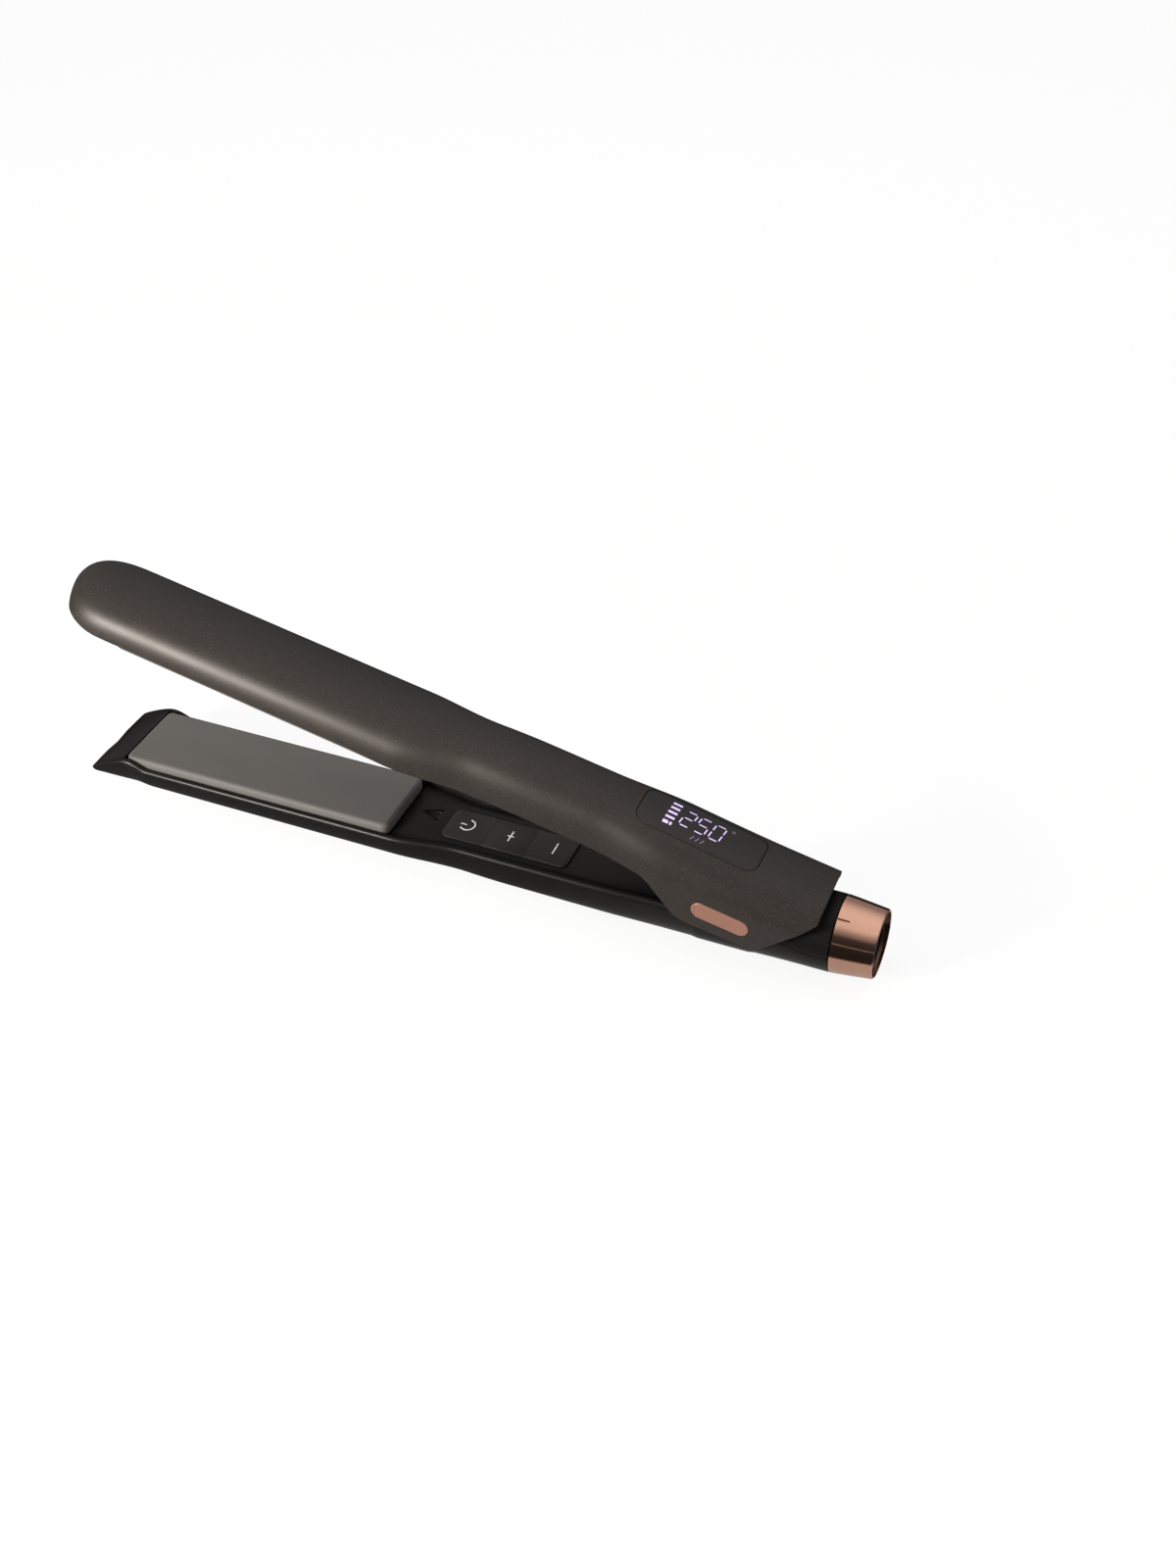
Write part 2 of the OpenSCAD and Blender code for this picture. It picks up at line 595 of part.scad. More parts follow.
// Collar profile: [radius, x]
ring_x2 = ring_x1 + ring_len;
ring_bore = sleeve_r + 0.07;
ring_profile = [
  [ring_bore, ring_x1], [ring_r1 - 0.25, ring_x1], [ring_r1, ring_x1 + 0.3],
  [(ring_r1 + ring_r2) / 2 + 0.18, ring_x1 + ring_len * 0.55],
  [ring_r2, ring_x2 - 0.5], [ring_r2 - 0.35, ring_x2],
  [sleeve_flange_r + fit, ring_x2], [sleeve_flange_r + fit, step_x], [ring_bore, step_x]];
module lock_ring() color([0.85, 0.58, 0.48]) difference() {
  on_ring_axis() rotate_extrude($fn = 96) polygon(ring_profile);
  // index notch in the front edge
  translate([0, 0, ring_z]) rotate([notch_angle, 0, 0])
    translate([ring_x1 - 1, -0.35, ring_r1 - 0.5]) cube([5.6, 0.7, 2]);
}
module cord_swivel() color([0.1, 0.1, 0.1]) on_ring_axis() difference() {
  union() {
    translate([0, 0, 26]) cylinder(r = 7.53, h = 20.6);
    translate([0, 0, 25.4]) cylinder(r = 8.8, h = 1.6);
  }
  translate([0, 0, 20]) cylinder(r = cord_r, h = 40);
  // recess round the cord hole
  translate([0, 0, 45.2]) cylinder(r = 5.8, h = 4);
}

/* ---------------- display and badges of the upper arm ---------------- */
badge_l = 10;              // half length
badge_r = 3.2;             // half width
badge_t = 0.85;

module window_2d(gap) translate([win_x, 0])
  rounded_rect(2 * (win_l + gap), 2 * (win_w + gap), 4.2 + gap, $fn = 24);
// Stretch of the arm's crown under the window, longer by margin at each end
module crown_stretch(margin, inset, base, cut) {
  front = win_x - win_l - margin;
  step = 2 * (win_l + margin) / 9;
  for (i = [0 : 8]) hull() for (x = [front + i * step, front + (i + 1) * step])
    slice(x, section(half_w_up(x) - inset, base, crown(x) - inset, power_of(x), cut));
}
module display_window() color([0.13, 0.125, 0.12]) open_arm() difference() {
  intersection() {
    crown_stretch(margin = 0.5, inset = 0, base = rim_up, cut = 10);
    translate([0, 0, 9]) linear_extrude(20) hull() window_2d(0);
  }
  crown_stretch(margin = 1, inset = 1.5, base = rim_up - 1, cut = 1);
}
module display_board() color(board_color) open_arm() difference() {
  translate([-45.5, -8.4, display_bottom]) cube([56, 16.8, display_t]);
  for (p = display_screws) translate([p.x, p.y, 12]) cylinder(r = 1.2, h = 3);
}
module display_module() color([0.85, 0.85, 0.9]) open_arm()
  translate([-25, -4.8, display_bottom + display_t + contact]) cube([18, 9.6, 1.5]);
module badge(side) color(badge_color) open_arm() across(side * 15.65)
  translate([0, 0, -badge_t / 2]) linear_extrude(badge_t) {
    square([2 * (badge_l - badge_r), 2 * badge_r], center = true);
    for (end = [-1, 1]) translate([end * (badge_l - badge_r), 0]) circle(badge_r);
  }
module badge_left() badge(-1);
module badge_right() badge(1);

/* ---------------- fasteners ---------------- */
// Cross-head screw, its head resting at height seat
module screw(x, y, seat, length = 5) translate([x, y, seat + contact - length]) {
  cylinder(r = 0.9, h = length);
  difference() {
    translate([0, 0, length]) cylinder(r = 1.9, h = 1.1);
    translate([-1.5, -0.25, length + 0.7]) cube([3, 0.5, 1]);
    translate([-0.25, -1.5, length + 0.7]) cube([0.5, 3, 1]);
  }
}
module lower_screws() color(screw_color) {
  for (p = bracket_screws) screw(p.x, p.y, bracket_bottom + bracket_t);
  for (p = board_screws) screw(p.x, p.y, board_top);
  for (x = frame_screws) screw(x, 0, frame_floor);
}
module upper_screws() color(screw_color) in_arm(true) {
  for (p = display_screws) screw(p.x, p.y, -display_bottom, length = 4.2);
  for (x = frame_screws) screw(x, 0, frame_floor);
}

module place() translate([0, 0, hinge_z]) children();
place() lower_shell();
place() lower_frame();
place() lower_plate();
place() lower_heater();
place() lower_carrier();
place() lower_pads();
place() lower_thermistor();
place() lower_fuse();
place() lower_leads();
place() mains_leads();
place() power_key();
place() plus_key();
place() minus_key();
place() control_board();
place() tact_switches();
place() board_parts();
place() hinge_bracket();
place() hinge_pin();
place() opening_spring();
place() neck_cover();
place() neck_sleeve();
place() lock_ring();
place() cord_swivel();
place() lower_screws();
place() upper_shell();
place() upper_frame();
place() upper_plate();
place() upper_heater();
place() upper_carrier();
place() upper_pads();
place() upper_thermistor();
place() upper_fuse();
place() upper_leads();
place() display_window();
place() display_board();
place() display_module();
place() hinge_bushes();
place() badge_left();
place() badge_right();
place() upper_screws();
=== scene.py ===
"""Hair straightener: two long arms hinged near the cord end, with heated plates on facing sides.

The arms lie along X, tips towards -X and cord end towards +X; Y runs across and Z points up.
The hinge axis is parallel to Y. Pieces are drawn in millimetres with the origin on that axis,
and new_mesh turns them into metres, lifted so the lower arm's flat underside is at z = 0.
The upper arm is drawn closed over the lower one and then turned open.
"""

import math

import bmesh
import bpy
import numpy as np
from mathutils import Matrix, Vector


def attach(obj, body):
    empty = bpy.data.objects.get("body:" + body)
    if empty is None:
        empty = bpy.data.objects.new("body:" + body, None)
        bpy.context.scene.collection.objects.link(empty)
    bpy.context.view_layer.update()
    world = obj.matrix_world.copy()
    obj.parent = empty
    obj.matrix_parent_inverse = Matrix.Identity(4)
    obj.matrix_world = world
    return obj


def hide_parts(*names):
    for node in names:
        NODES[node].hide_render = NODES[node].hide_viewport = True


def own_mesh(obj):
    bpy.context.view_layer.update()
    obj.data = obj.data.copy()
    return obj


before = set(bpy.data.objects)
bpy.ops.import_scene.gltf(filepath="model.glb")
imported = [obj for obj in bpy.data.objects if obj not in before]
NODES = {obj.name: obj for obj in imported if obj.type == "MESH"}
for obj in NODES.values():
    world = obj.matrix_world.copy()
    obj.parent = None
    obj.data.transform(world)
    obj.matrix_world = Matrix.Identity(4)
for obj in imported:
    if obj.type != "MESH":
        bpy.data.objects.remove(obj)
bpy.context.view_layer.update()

MM = 0.001
OPEN = math.radians(12.4)          # how far the upper arm is open
LIFT = 20.0                        # height of the hinge axis over the resting face

# --------------------------------------------------------------------------------------------
# Profile of the arms. Widths are half widths; heights are measured from the hinge axis.
HEAD_WIDTH, GRIP_WIDTH, CHEEK_WIDTH, LOW_REAR_WIDTH = 17.2, 13.9, 16.0, 13.4
WALL = 1.9
UP_TIP, UP_TAPER = -248.0, -226    # upper arm: tip, and where the tip starts to close
LOW_TIP, LOW_TAPER = -240.0, -224
LOW_CORNER = 2                     # radius of the lower tip's corners, seen from above
UP_REAR = 29.5
CROWN_TIP, CROWN_HEAD, CROWN_GRIP, CROWN_REAR = 9, 17.6, 20.4, 18.3
DEPTH_HEAD, DEPTH_WAIST, DEPTH_GRIP = 17.2, 19.6, 20.2
HEAD_SLOPE = 0.7                   # change of crown and depth along the head
RIM_LOW, RIM_UP = 3.0, 3.7         # rim of the lower arm (below the axis), of the upper (above)
COLLAR_Z = -7.34
COLLAR_RADIUS, COLLAR_END_RADIUS = 13.1, 11.7
COLLAR_X, COLLAR_LENGTH = 35.7, 14.2
NECK_END = 35.5

# Spans along X in which a measure goes from one value to the next
WAIST = (-120.0, -93.0)
SQUARING = (WAIST[0], -80)
CHEEK = (-50, -22)
LOW_REAR = (-45, -22)
NECK = (6, 30)
NECK_RIM = (9, 30)
NECK_TOP = (7, 30)
NECK_WALL = (24, 26)
FLAT = (-62, 28)                   # where the underside is cut flat, LIFT below the axis

# Lower edge of the upper arm's side: x, height
UP_EDGE = np.array([
    [-44, 3.7], [-31, 3.5], [-28.5, 3], [-26, 1.9], [-20.3, -2.6], [-15.2, -6.5],
    [-13.4, -7.4], [-11, -7.7], [-8, -7.75], [10.5, -7.1], [13.2, -6.5], [15, -5.2],
    [20.2, 1.3], [25.7, 8.4], [29.5, 13.2], [31.5, 15.7]])


def linear(span, x):
    """0 at the span's first value, 1 at its second, held outside."""
    start, end = span
    return min(1.0, max(0.0, (x - start) / (end - start)))


def ease(span, x):
    t = linear(span, x)
    return t * t * (3 - 2 * t)


def taper(x, start, length, power):
    """1 behind start, closing to 0 over length towards -X as a superellipse."""
    if x > start:
        return 1.0
    return max(0.0, 1 - min(1.0, (start - x) / length) ** power) ** (1 / power)


def arch(rim, crown, y, width, power):
    """Height over y of a superellipse arch."""
    t = min(0.999, abs(y) / width)
    return rim + (crown - rim) * (1 - t ** power) ** (1 / power)


def up_width(x):
    return taper(x, UP_TAPER, UP_TAPER - UP_TIP, 3) * (
        HEAD_WIDTH - (HEAD_WIDTH - GRIP_WIDTH) * ease(WAIST, x)
        + (CHEEK_WIDTH - GRIP_WIDTH) * ease(CHEEK, x))


def up_crown(x):
    height = (CROWN_HEAD + HEAD_SLOPE * linear((-230, -122), x)
              + (CROWN_GRIP - CROWN_HEAD - HEAD_SLOPE) * ease((-125, -72), x)
              + (CROWN_REAR - CROWN_GRIP) * ease((-46, 12), x))
    return CROWN_TIP + (height - CROWN_TIP) * taper(x, UP_TAPER, UP_TAPER - UP_TIP, 4)


def up_power(x):
    return 2.3 + 0.2 * ease(SQUARING, x)


def up_edge(x):
    if x < -232:
        return RIM_UP + 2.6 * ease((-232, UP_TIP), x)
    # a running mean rounds the corners of the outline
    near = np.linspace(-1.2, 1.2, 9)
    dip = 0.6 * ease((-134, -122), x) * (1 - ease((-92, -78), x))
    return float(np.mean(np.interp(x + near, UP_EDGE[:, 0], UP_EDGE[:, 1]))) - dip


def low_width(x):
    width = HEAD_WIDTH
    past = LOW_CORNER + LOW_TIP - x
    if past > 0:
        width -= 1.6 * (1 - math.sqrt(max(0.0, 1 - (past / LOW_CORNER) ** 2)))
    return (width - (HEAD_WIDTH - GRIP_WIDTH) * ease(WAIST, x)
            - (GRIP_WIDTH - LOW_REAR_WIDTH) * ease(LOW_REAR, x)
            - (LOW_REAR_WIDTH - COLLAR_RADIUS) * ease(NECK, x))


def low_rim(x):
    """Depth of the lower arm's rim below the axis."""
    return (RIM_LOW - 2.5 * ease((-216, LOW_TAPER), x)
            + 7 * linear((-225, LOW_TIP), x) ** 1.25
            + 2.3 * ease((-12, -9), x) * (1 - ease((8, 11), x))
            + (-COLLAR_Z - RIM_LOW) * ease(NECK_RIM, x))


def low_depth(x):
    """Depth of the lower arm's underside, before the flat is cut."""
    deep = (DEPTH_HEAD - HEAD_SLOPE * linear((-125, -230), x)
            + (DEPTH_WAIST - DEPTH_HEAD) * ease((-125, -75), x)
            + (DEPTH_GRIP - DEPTH_WAIST) * linear((-75, -30), x)
            + (COLLAR_RADIUS - COLLAR_Z - DEPTH_GRIP) * ease(NECK, x))
    tip_depth = low_rim(x) + 2.5
    return tip_depth + (deep - tip_depth) * taper(
        x, LOW_TAPER, LOW_TAPER - LOW_TIP + 0.01, 2.4)


def low_power(x):
    return 2.3 + 0.2 * ease(SQUARING, x) - 0.5 * ease(NECK, x)


def neck_top(x):
    return -2.4 + (2.4 + COLLAR_Z + COLLAR_RADIUS) * ease(NECK_TOP, x)


def top_z(x, y):
    """Height of the closed upper arm's outer surface."""
    return arch(RIM_UP, up_crown(x), y, up_width(x), up_power(x))


def floor_z(x, y):
    """Height of the lower arm's outer surface, a negative number."""
    depth = arch(low_rim(x), low_depth(x), y, low_width(x), low_power(x))
    return -min(depth, LIFT) if FLAT[0] < x < FLAT[1] else -depth


# --------------------------------------------------------------------------------------------
# Mesh helpers
def turn_up(points):
    """Turns points from the upper arm's closed position to its open one."""
    c, s = math.cos(OPEN), math.sin(OPEN)
    points = np.asarray(points, float)
    turned = points.copy()
    turned[..., 0] = c * points[..., 0] + s * points[..., 2]
    turned[..., 2] = -s * points[..., 0] + c * points[..., 2]
    return turned


def unit(vectors):
    return vectors / np.maximum(np.linalg.norm(vectors, axis=-1, keepdims=True), 1e-9)


def shade(mesh, angle):
    """Smooth shading, with edges sharper than angle degrees kept sharp; 0 marks none."""
    mesh.polygons.foreach_set("use_smooth", [True] * len(mesh.polygons))
    if angle:
        mesh.set_sharp_from_angle(angle=math.radians(angle))


def link_object(name, data):
    ob = bpy.data.objects.new(name, data)
    bpy.context.scene.collection.objects.link(ob)
    return ob


def new_mesh(name, verts, faces, up=False, merge=0.0, smooth=40.0):
    """Object from points in mm; up marks a piece of the upper arm, merge joins close points."""
    points = turn_up(verts) if up else np.asarray(verts, float)
    mesh = bpy.data.meshes.new(name)
    mesh.from_pydata([(p[0] * MM, p[1] * MM, (p[2] + LIFT) * MM) for p in points], [], faces)
    bm = bmesh.new()
    bm.from_mesh(mesh)
    if merge:
        bmesh.ops.remove_doubles(bm, verts=bm.verts, dist=merge * MM)
        bmesh.ops.dissolve_degenerate(bm, edges=bm.edges, dist=1e-7)
    bmesh.ops.recalc_face_normals(bm, faces=bm.faces)
    bm.to_mesh(mesh)
    bm.free()
    shade(mesh, smooth)
    return link_object(name, mesh)


def band(first, second, size):
    """Quads between two closed rings, given the index of each ring's first point."""
    return [[first + k, second + k, second + (k + 1) % size, first + (k + 1) % size]
            for k in range(size)]


def prism_faces(size, base=0):
    """Caps and sides of a prism whose two rings follow each other from index base."""
    caps = [list(range(base, base + size))[::-1], list(range(base + size, base + 2 * size))]
    sides = [[base + k, base + (k + 1) % size, base + size + (k + 1) % size, base + size + k]
             for k in range(size)]
    return caps, sides


SECTION_STEPS = 44


def half_section(width, rim, crown, power, edge):
    """Points (y, z) from the edge height up to the crown, evenly spaced along the curve."""
    points = []
    start = 0.0
    if edge < rim:
        points += [(width, edge + (rim - edge) * k / 12) for k in range(12)]
    else:
        start = math.asin(min(0.9995, ((edge - rim) / (crown - rim)) ** (power / 2)))
    for k in range(181):
        t = start + (math.pi / 2 - start) * k / 180
        points.append((width * max(0.0, math.cos(t)) ** (2 / power),
                       rim + (crown - rim) * math.sin(t) ** (2 / power)))
    p = np.array(points)
    along = np.concatenate([[0], np.cumsum(np.hypot(*np.diff(p, axis=0).T))])
    even = np.linspace(0, along[-1], SECTION_STEPS + 1)
    return np.stack([np.interp(even, along, p[:, 0]), np.interp(even, along, p[:, 1])], 1)


def sheet_from(stations, halves):
    """Grid of points: one row per station, from the +Y edge over the crown to the -Y edge."""
    rows = []
    for x, half in zip(stations, halves):
        full = np.concatenate([half, half[-2::-1] * np.array([-1, 1])])
        rows.append(np.concatenate([np.full((len(full), 1), x), full], 1))
    return np.array(rows)


def shell(name, sheet, wall, rim_across, rim_along, inner_radius=0.25, pole=True, flip=False,
          up=False, steps=5):
    """Closed shell of thickness wall inside the sheet, with a rounded rim round its edge.

    rim_across and rim_along are the rim's radii through the wall and out of the sheet. They
    and wall are single values or one per row. pole: the first row is a single point.
    flip mirrors the shell in Z.
    """
    rows, cols, _ = sheet.shape
    normals = unit(np.cross(np.gradient(sheet, axis=0), np.gradient(sheet, axis=1)))
    if normals[rows // 2, cols // 2][2] < 0:
        normals = -normals
    if pole:
        normals[0, :] = np.array([-1.0, 0, 0])
    wall = np.broadcast_to(np.asarray(wall, float).reshape(-1, 1), (rows, cols))
    verts, faces = [], []

    def add_sheet(points, reverse):
        skip = cols - 1 if pole else 0
        index = len(verts) + np.maximum(np.arange(rows * cols) - skip, 0).reshape(rows, cols)
        verts.extend(points.reshape(-1, 3)[skip:])
        for i in range(rows - 1):
            for j in range(cols - 1):
                quad = [index[i, j], index[i + 1, j], index[i + 1, j + 1], index[i, j + 1]]
                quad = list(dict.fromkeys(quad))
                faces.append(quad[::-1] if reverse else quad)
        return index

    outer = add_sheet(sheet, False)
    inner = add_sheet(sheet - wall[:, :, None] * normals, True)

    border = [(i, 0) for i in range(rows)] + [(rows - 1, j) for j in range(1, cols)]
    border += [(i, cols - 1) for i in range(rows - 2, 0, -1)]
    if not pole:
        border += [(0, j) for j in range(cols - 1, 0, -1)]
    row, col = np.array(border).T
    edge, normal = sheet[row, col], normals[row, col]
    thick = wall[row, col][:, None]
    across = np.broadcast_to(rim_across, rows)[row][:, None]
    along = np.broadcast_to(rim_along, rows)[row][:, None]
    tangent = unit(np.roll(edge, -1, axis=0) - np.roll(edge, 1, axis=0))
    out = unit(np.cross(tangent, normal))
    # out leads away from the sheet, so it must oppose the step to the next column
    middle = rows // 2
    if np.dot(out[middle], sheet[middle, 1] - sheet[middle, 0]) > 0:
        out = -out
    if pole:
        out[0] = unit((out[1] + out[-1]) / 2)

    rings = [outer[row, col]]

    def add_ring(points):
        rings.append(list(range(len(verts), len(verts) + len(points))))
        verts.extend(points)

    for k in range(1, steps + 1):
        a = k * math.pi / 2 / steps
        add_ring(edge - across * (1 - math.cos(a)) * normal + along * math.sin(a) * out)
    r = inner_radius
    for k in range(4):
        a = k * math.pi / 2 / 3
        add_ring(edge - (thick - r) * normal + (along - r) * out
                 - r * math.sin(a) * normal + r * math.cos(a) * out)
    rings.append(inner[row, col])
    size = len(border)
    for a, b in zip(rings, rings[1:]):
        for k in range(size):
            n = (k + 1) % size
            faces.append([a[k], b[k], b[n], a[n]])
    points = np.array(verts)
    if flip:
        points = points * np.array([1, 1, -1])
    return new_mesh(name, points, faces, up=up)


def pad_outline(length, width, radius, straight):
    """Rounded rectangle of half sizes length x width, its long sides in straight pieces."""
    def on_corner(corner, turned):
        cx, cy, start = corner
        a = math.radians(start + turned)
        return cx + radius * math.cos(a), cy + radius * math.sin(a)

    points = []
    arc_steps = 10
    dx, dy = length - radius, width - radius
    corners = [(dx, dy, 0), (-dx, dy, 90), (-dx, -dy, 180), (dx, -dy, 270)]
    for c, corner in enumerate(corners):
        points += [on_corner(corner, 90 * k / arc_steps) for k in range(arc_steps + 1)]
        (ax, ay), (bx, by) = points[-1], on_corner(corners[(c + 1) % 4], 0)
        pieces = straight if c % 2 == 0 else max(1, straight // 4)
        for k in range(1, pieces):
            t = k / pieces
            points.append((ax + (bx - ax) * t, ay + (by - ay) * t))
    return np.array(points)


def pad(name, length, width, radius, profile, place, centre_x=0, straight=1, cap=4, up=False):
    """Solid over a rounded rectangle.

    profile: (inset, height) from the top's edge outwards and down to the bottom's edge.
    place(x, y, height) gives the 3-D point; cap rings fill the top and the bottom.
    """
    def outline(inset):
        return pad_outline(length - inset, width - inset, max(radius - inset, 0.04), straight)

    def inward(inset, scale):
        edge = outline(inset)
        core = max(0.0, (length - inset) - (width - inset))
        spine = np.stack([np.clip(edge[:, 0], -core, core), np.zeros(len(edge))], 1)
        return spine + (edge - spine) * scale

    (top_inset, top), (bottom_inset, bottom) = profile[0], profile[-1]
    rings = [(inward(top_inset, k / cap), top) for k in range(cap)]
    rings += [(outline(inset), height) for inset, height in profile]
    rings += [(inward(bottom_inset, k / cap), bottom) for k in range(cap - 1, -1, -1)]
    verts = [place(x + centre_x, y, height) for ring, height in rings for x, y in ring]
    faces = []
    size = len(rings[0][0])
    for i in range(len(rings) - 1):
        faces += band(i * size, (i + 1) * size, size)
    return new_mesh(name, verts, faces, up=up, merge=0.004)


def quarter(radius, angles, top=0.0):
    """Profile points (inset, height) of an edge rounded from the side up, for pad."""
    return [(radius * (1 - math.sin(math.radians(a))), top - radius * (1 - math.cos(math.radians(a))))
            for a in angles]


def revolve(name, profile, segments):
    """Closed profile of (radius, x) turned round the collar axis."""
    verts, faces = [], []
    for s in range(segments):
        a = 2 * math.pi * s / segments
        verts += [(x, r * math.sin(a), COLLAR_Z + r * math.cos(a)) for r, x in profile]
    size = len(profile)
    for s in range(segments):
        faces += band(s * size, (s + 1) % segments * size, size)
    return new_mesh(name, verts, faces, smooth=35.0)


def rounded(profile, radius):
    """Rounds the corners of a closed 2-D profile where the radius fits."""
    result = []
    steps = 4
    for i, here in enumerate(profile):
        corner = np.array(here, float)
        before = np.array(profile[i - 1], float) - corner
        after = np.array(profile[(i + 1) % len(profile)], float) - corner
        before_length, after_length = np.linalg.norm(before), np.linalg.norm(after)
        before, after = before / before_length, after / after_length
        angle = math.acos(max(-1, min(1, float(before @ after))))
        if angle > math.radians(165):
            result.append(tuple(corner))
            continue
        cut = min(radius / math.tan(angle / 2), before_length * 0.45, after_length * 0.45)
        start, end = corner + before * cut, corner + after * cut
        for k in range(steps + 1):
            t = k / steps
            result.append(tuple((1 - t) ** 2 * start + 2 * t * (1 - t) * corner + t * t * end))
    return result


def combine(ob, tool, operation="DIFFERENCE"):
    """Applies a boolean to ob and removes the tool object."""
    modifier = ob.modifiers.new("b", "BOOLEAN")
    modifier.operation = operation
    modifier.solver = "EXACT"
    modifier.object = tool
    bpy.context.view_layer.objects.active = ob
    depsgraph = bpy.context.evaluated_depsgraph_get()
    mesh = bpy.data.meshes.new_from_object(ob.evaluated_get(depsgraph))
    ob.modifiers.clear()
    old = ob.data
    ob.data = mesh
    bpy.data.meshes.remove(old)
    bpy.data.objects.remove(tool)


def clean(ob, smooth=40.0):
    """Tidies a mesh after booleans."""
    bm = bmesh.new()
    bm.from_mesh(ob.data)
    bmesh.ops.remove_doubles(bm, verts=bm.verts, dist=2e-6)
    bmesh.ops.dissolve_degenerate(bm, edges=bm.edges, dist=1e-6)
    bm.to_mesh(ob.data)
    bm.free()
    shade(ob.data, smooth)


def cylinders(items, segments=40, up=False):
    """Closed cylinders as one tool: items of (start, end, start radius, end radius)."""
    verts, faces = [], []
    for start, end, start_radius, end_radius in items:
        start, end = np.array(start, float), np.array(end, float)
        axis = (end - start) / np.linalg.norm(end - start)
        side = np.cross(axis, [0, 1, 0.3] if abs(axis[1]) < 0.9 else [1, 0, 0.2])
        side /= np.linalg.norm(side)
        other = np.cross(axis, side)
        base = len(verts)
        for centre, radius in ((start, start_radius), (end, end_radius)):
            for k in range(segments):
                a = 2 * math.pi * k / segments
                verts.append(centre + radius * (math.cos(a) * side + math.sin(a) * other))
        caps, sides = prism_faces(segments, base)
        faces += sides + caps
    return new_mesh("tool", verts, faces, up=up, smooth=0)


def prism(outline, low, high, up=False, place=lambda x, y, h: (x, y, h)):
    """Straight prism over a 2-D outline, as a tool."""
    verts = [place(x, y, h) for h in (low, high) for x, y in outline]
    caps, sides = prism_faces(len(outline))
    return new_mesh("tool", verts, caps + sides, up=up, smooth=0)


def tube(name, paths, radius, up=False):
    """Round wire along each path."""
    sides = 16
    verts, faces = [], []
    for path in paths:
        p = np.array(path, float)
        base = len(verts)
        count = len(p)
        normal = None
        for i in range(count):
            along = p[min(count - 1, i + 1)] - p[max(0, i - 1)]
            along /= np.linalg.norm(along)
            if normal is None:
                normal = np.cross(along, [0.31, 0.2, 0.93])
            # carrying the normal from ring to ring keeps the wire from twisting
            normal = normal - (normal @ along) * along
            normal /= np.linalg.norm(normal)
            other = np.cross(along, normal)
            for k in range(sides):
                a = 2 * math.pi * k / sides
                verts.append(p[i] + radius * (math.cos(a) * normal + math.sin(a) * other))
        for i in range(count - 1):
            faces += band(base + i * sides, base + (i + 1) * sides, sides)
        faces.append([base + k for k in range(sides)])
        faces.append([base + (count - 1) * sides + k for k in range(sides)][::-1])
    return new_mesh(name, verts, faces, up=up, smooth=50)


def add_slab(verts, faces, outline, place, heights):
    """Adds a thin tile between two heights (top, bottom)."""
    base, size = len(verts), len(outline)
    verts += [place(x, y, h) for h in heights for x, y in outline]
    faces.append([base + k for k in range(size)])
    faces.append([base + size + k for k in range(size)][::-1])
    faces += band(base, base + size, size)


def rectangle(x0, y0, x1, y1):
    return [(x0, y0), (x1, y0), (x1, y1), (x0, y1)]


def eased(node, bevel, segments=2):
    """A copy of a CAD node with split faces made whole and edges rounded by bevel."""
    mesh = NODES[node].data.copy()
    mesh.name = node + "_body"
    bm = bmesh.new()
    bm.from_mesh(mesh)
    bmesh.ops.remove_doubles(bm, verts=bm.verts, dist=2e-6)
    bmesh.ops.dissolve_limit(bm, angle_limit=math.radians(0.6), verts=bm.verts, edges=bm.edges)
    sharp = [e for e in bm.edges
             if len(e.link_faces) == 2 and e.calc_face_angle(0) > math.radians(35.0)]
    bmesh.ops.bevel(bm, geom=sharp, offset=bevel * MM, segments=segments, profile=0.5,
                    affect="EDGES", clamp_overlap=True)
    bm.to_mesh(mesh)
    bm.free()
    shade(mesh, 30)
    return link_object(node + "_body", mesh)


# --------------------------------------------------------------------------------------------
# Shader helpers
def set_inputs(tree, node, inputs):
    """Gives each named input its value, or links it when the value is a socket."""
    for key, value in inputs.items():
        if isinstance(value, bpy.types.NodeSocket):
            tree.links.new(value, node.inputs[key])
        else:
            node.inputs[key].default_value = value


def add_node(tree, kind, inputs=None, **settings):
    node = tree.nodes.new("ShaderNode" + kind)
    for key, value in settings.items():
        setattr(node, key, value)
    set_inputs(tree, node, inputs or {})
    return node


def add_ramp(tree, factor, stops):
    """Colour ramp; stops are (position, colour), the colour an RGB tuple or one grey value."""
    def rgba(colour):
        return (*colour, 1) if isinstance(colour, tuple) else (colour, colour, colour, 1)

    ramp = add_node(tree, "ValToRGB", {"Fac": factor})
    elements = ramp.color_ramp.elements
    for element, (position, colour) in zip(elements, (stops[0], stops[-1])):
        element.position = position
        element.color = rgba(colour)
    for position, colour in stops[1:-1]:
        elements.new(position).color = rgba(colour)
    return ramp.outputs["Color"]


def srgb(*levels):
    """Linear colour from 0-255 sRGB levels."""
    return tuple((c / 255) / 12.92 if c / 255 <= 0.04045 else ((c / 255 + 0.055) / 1.055) ** 2.4
                 for c in levels)


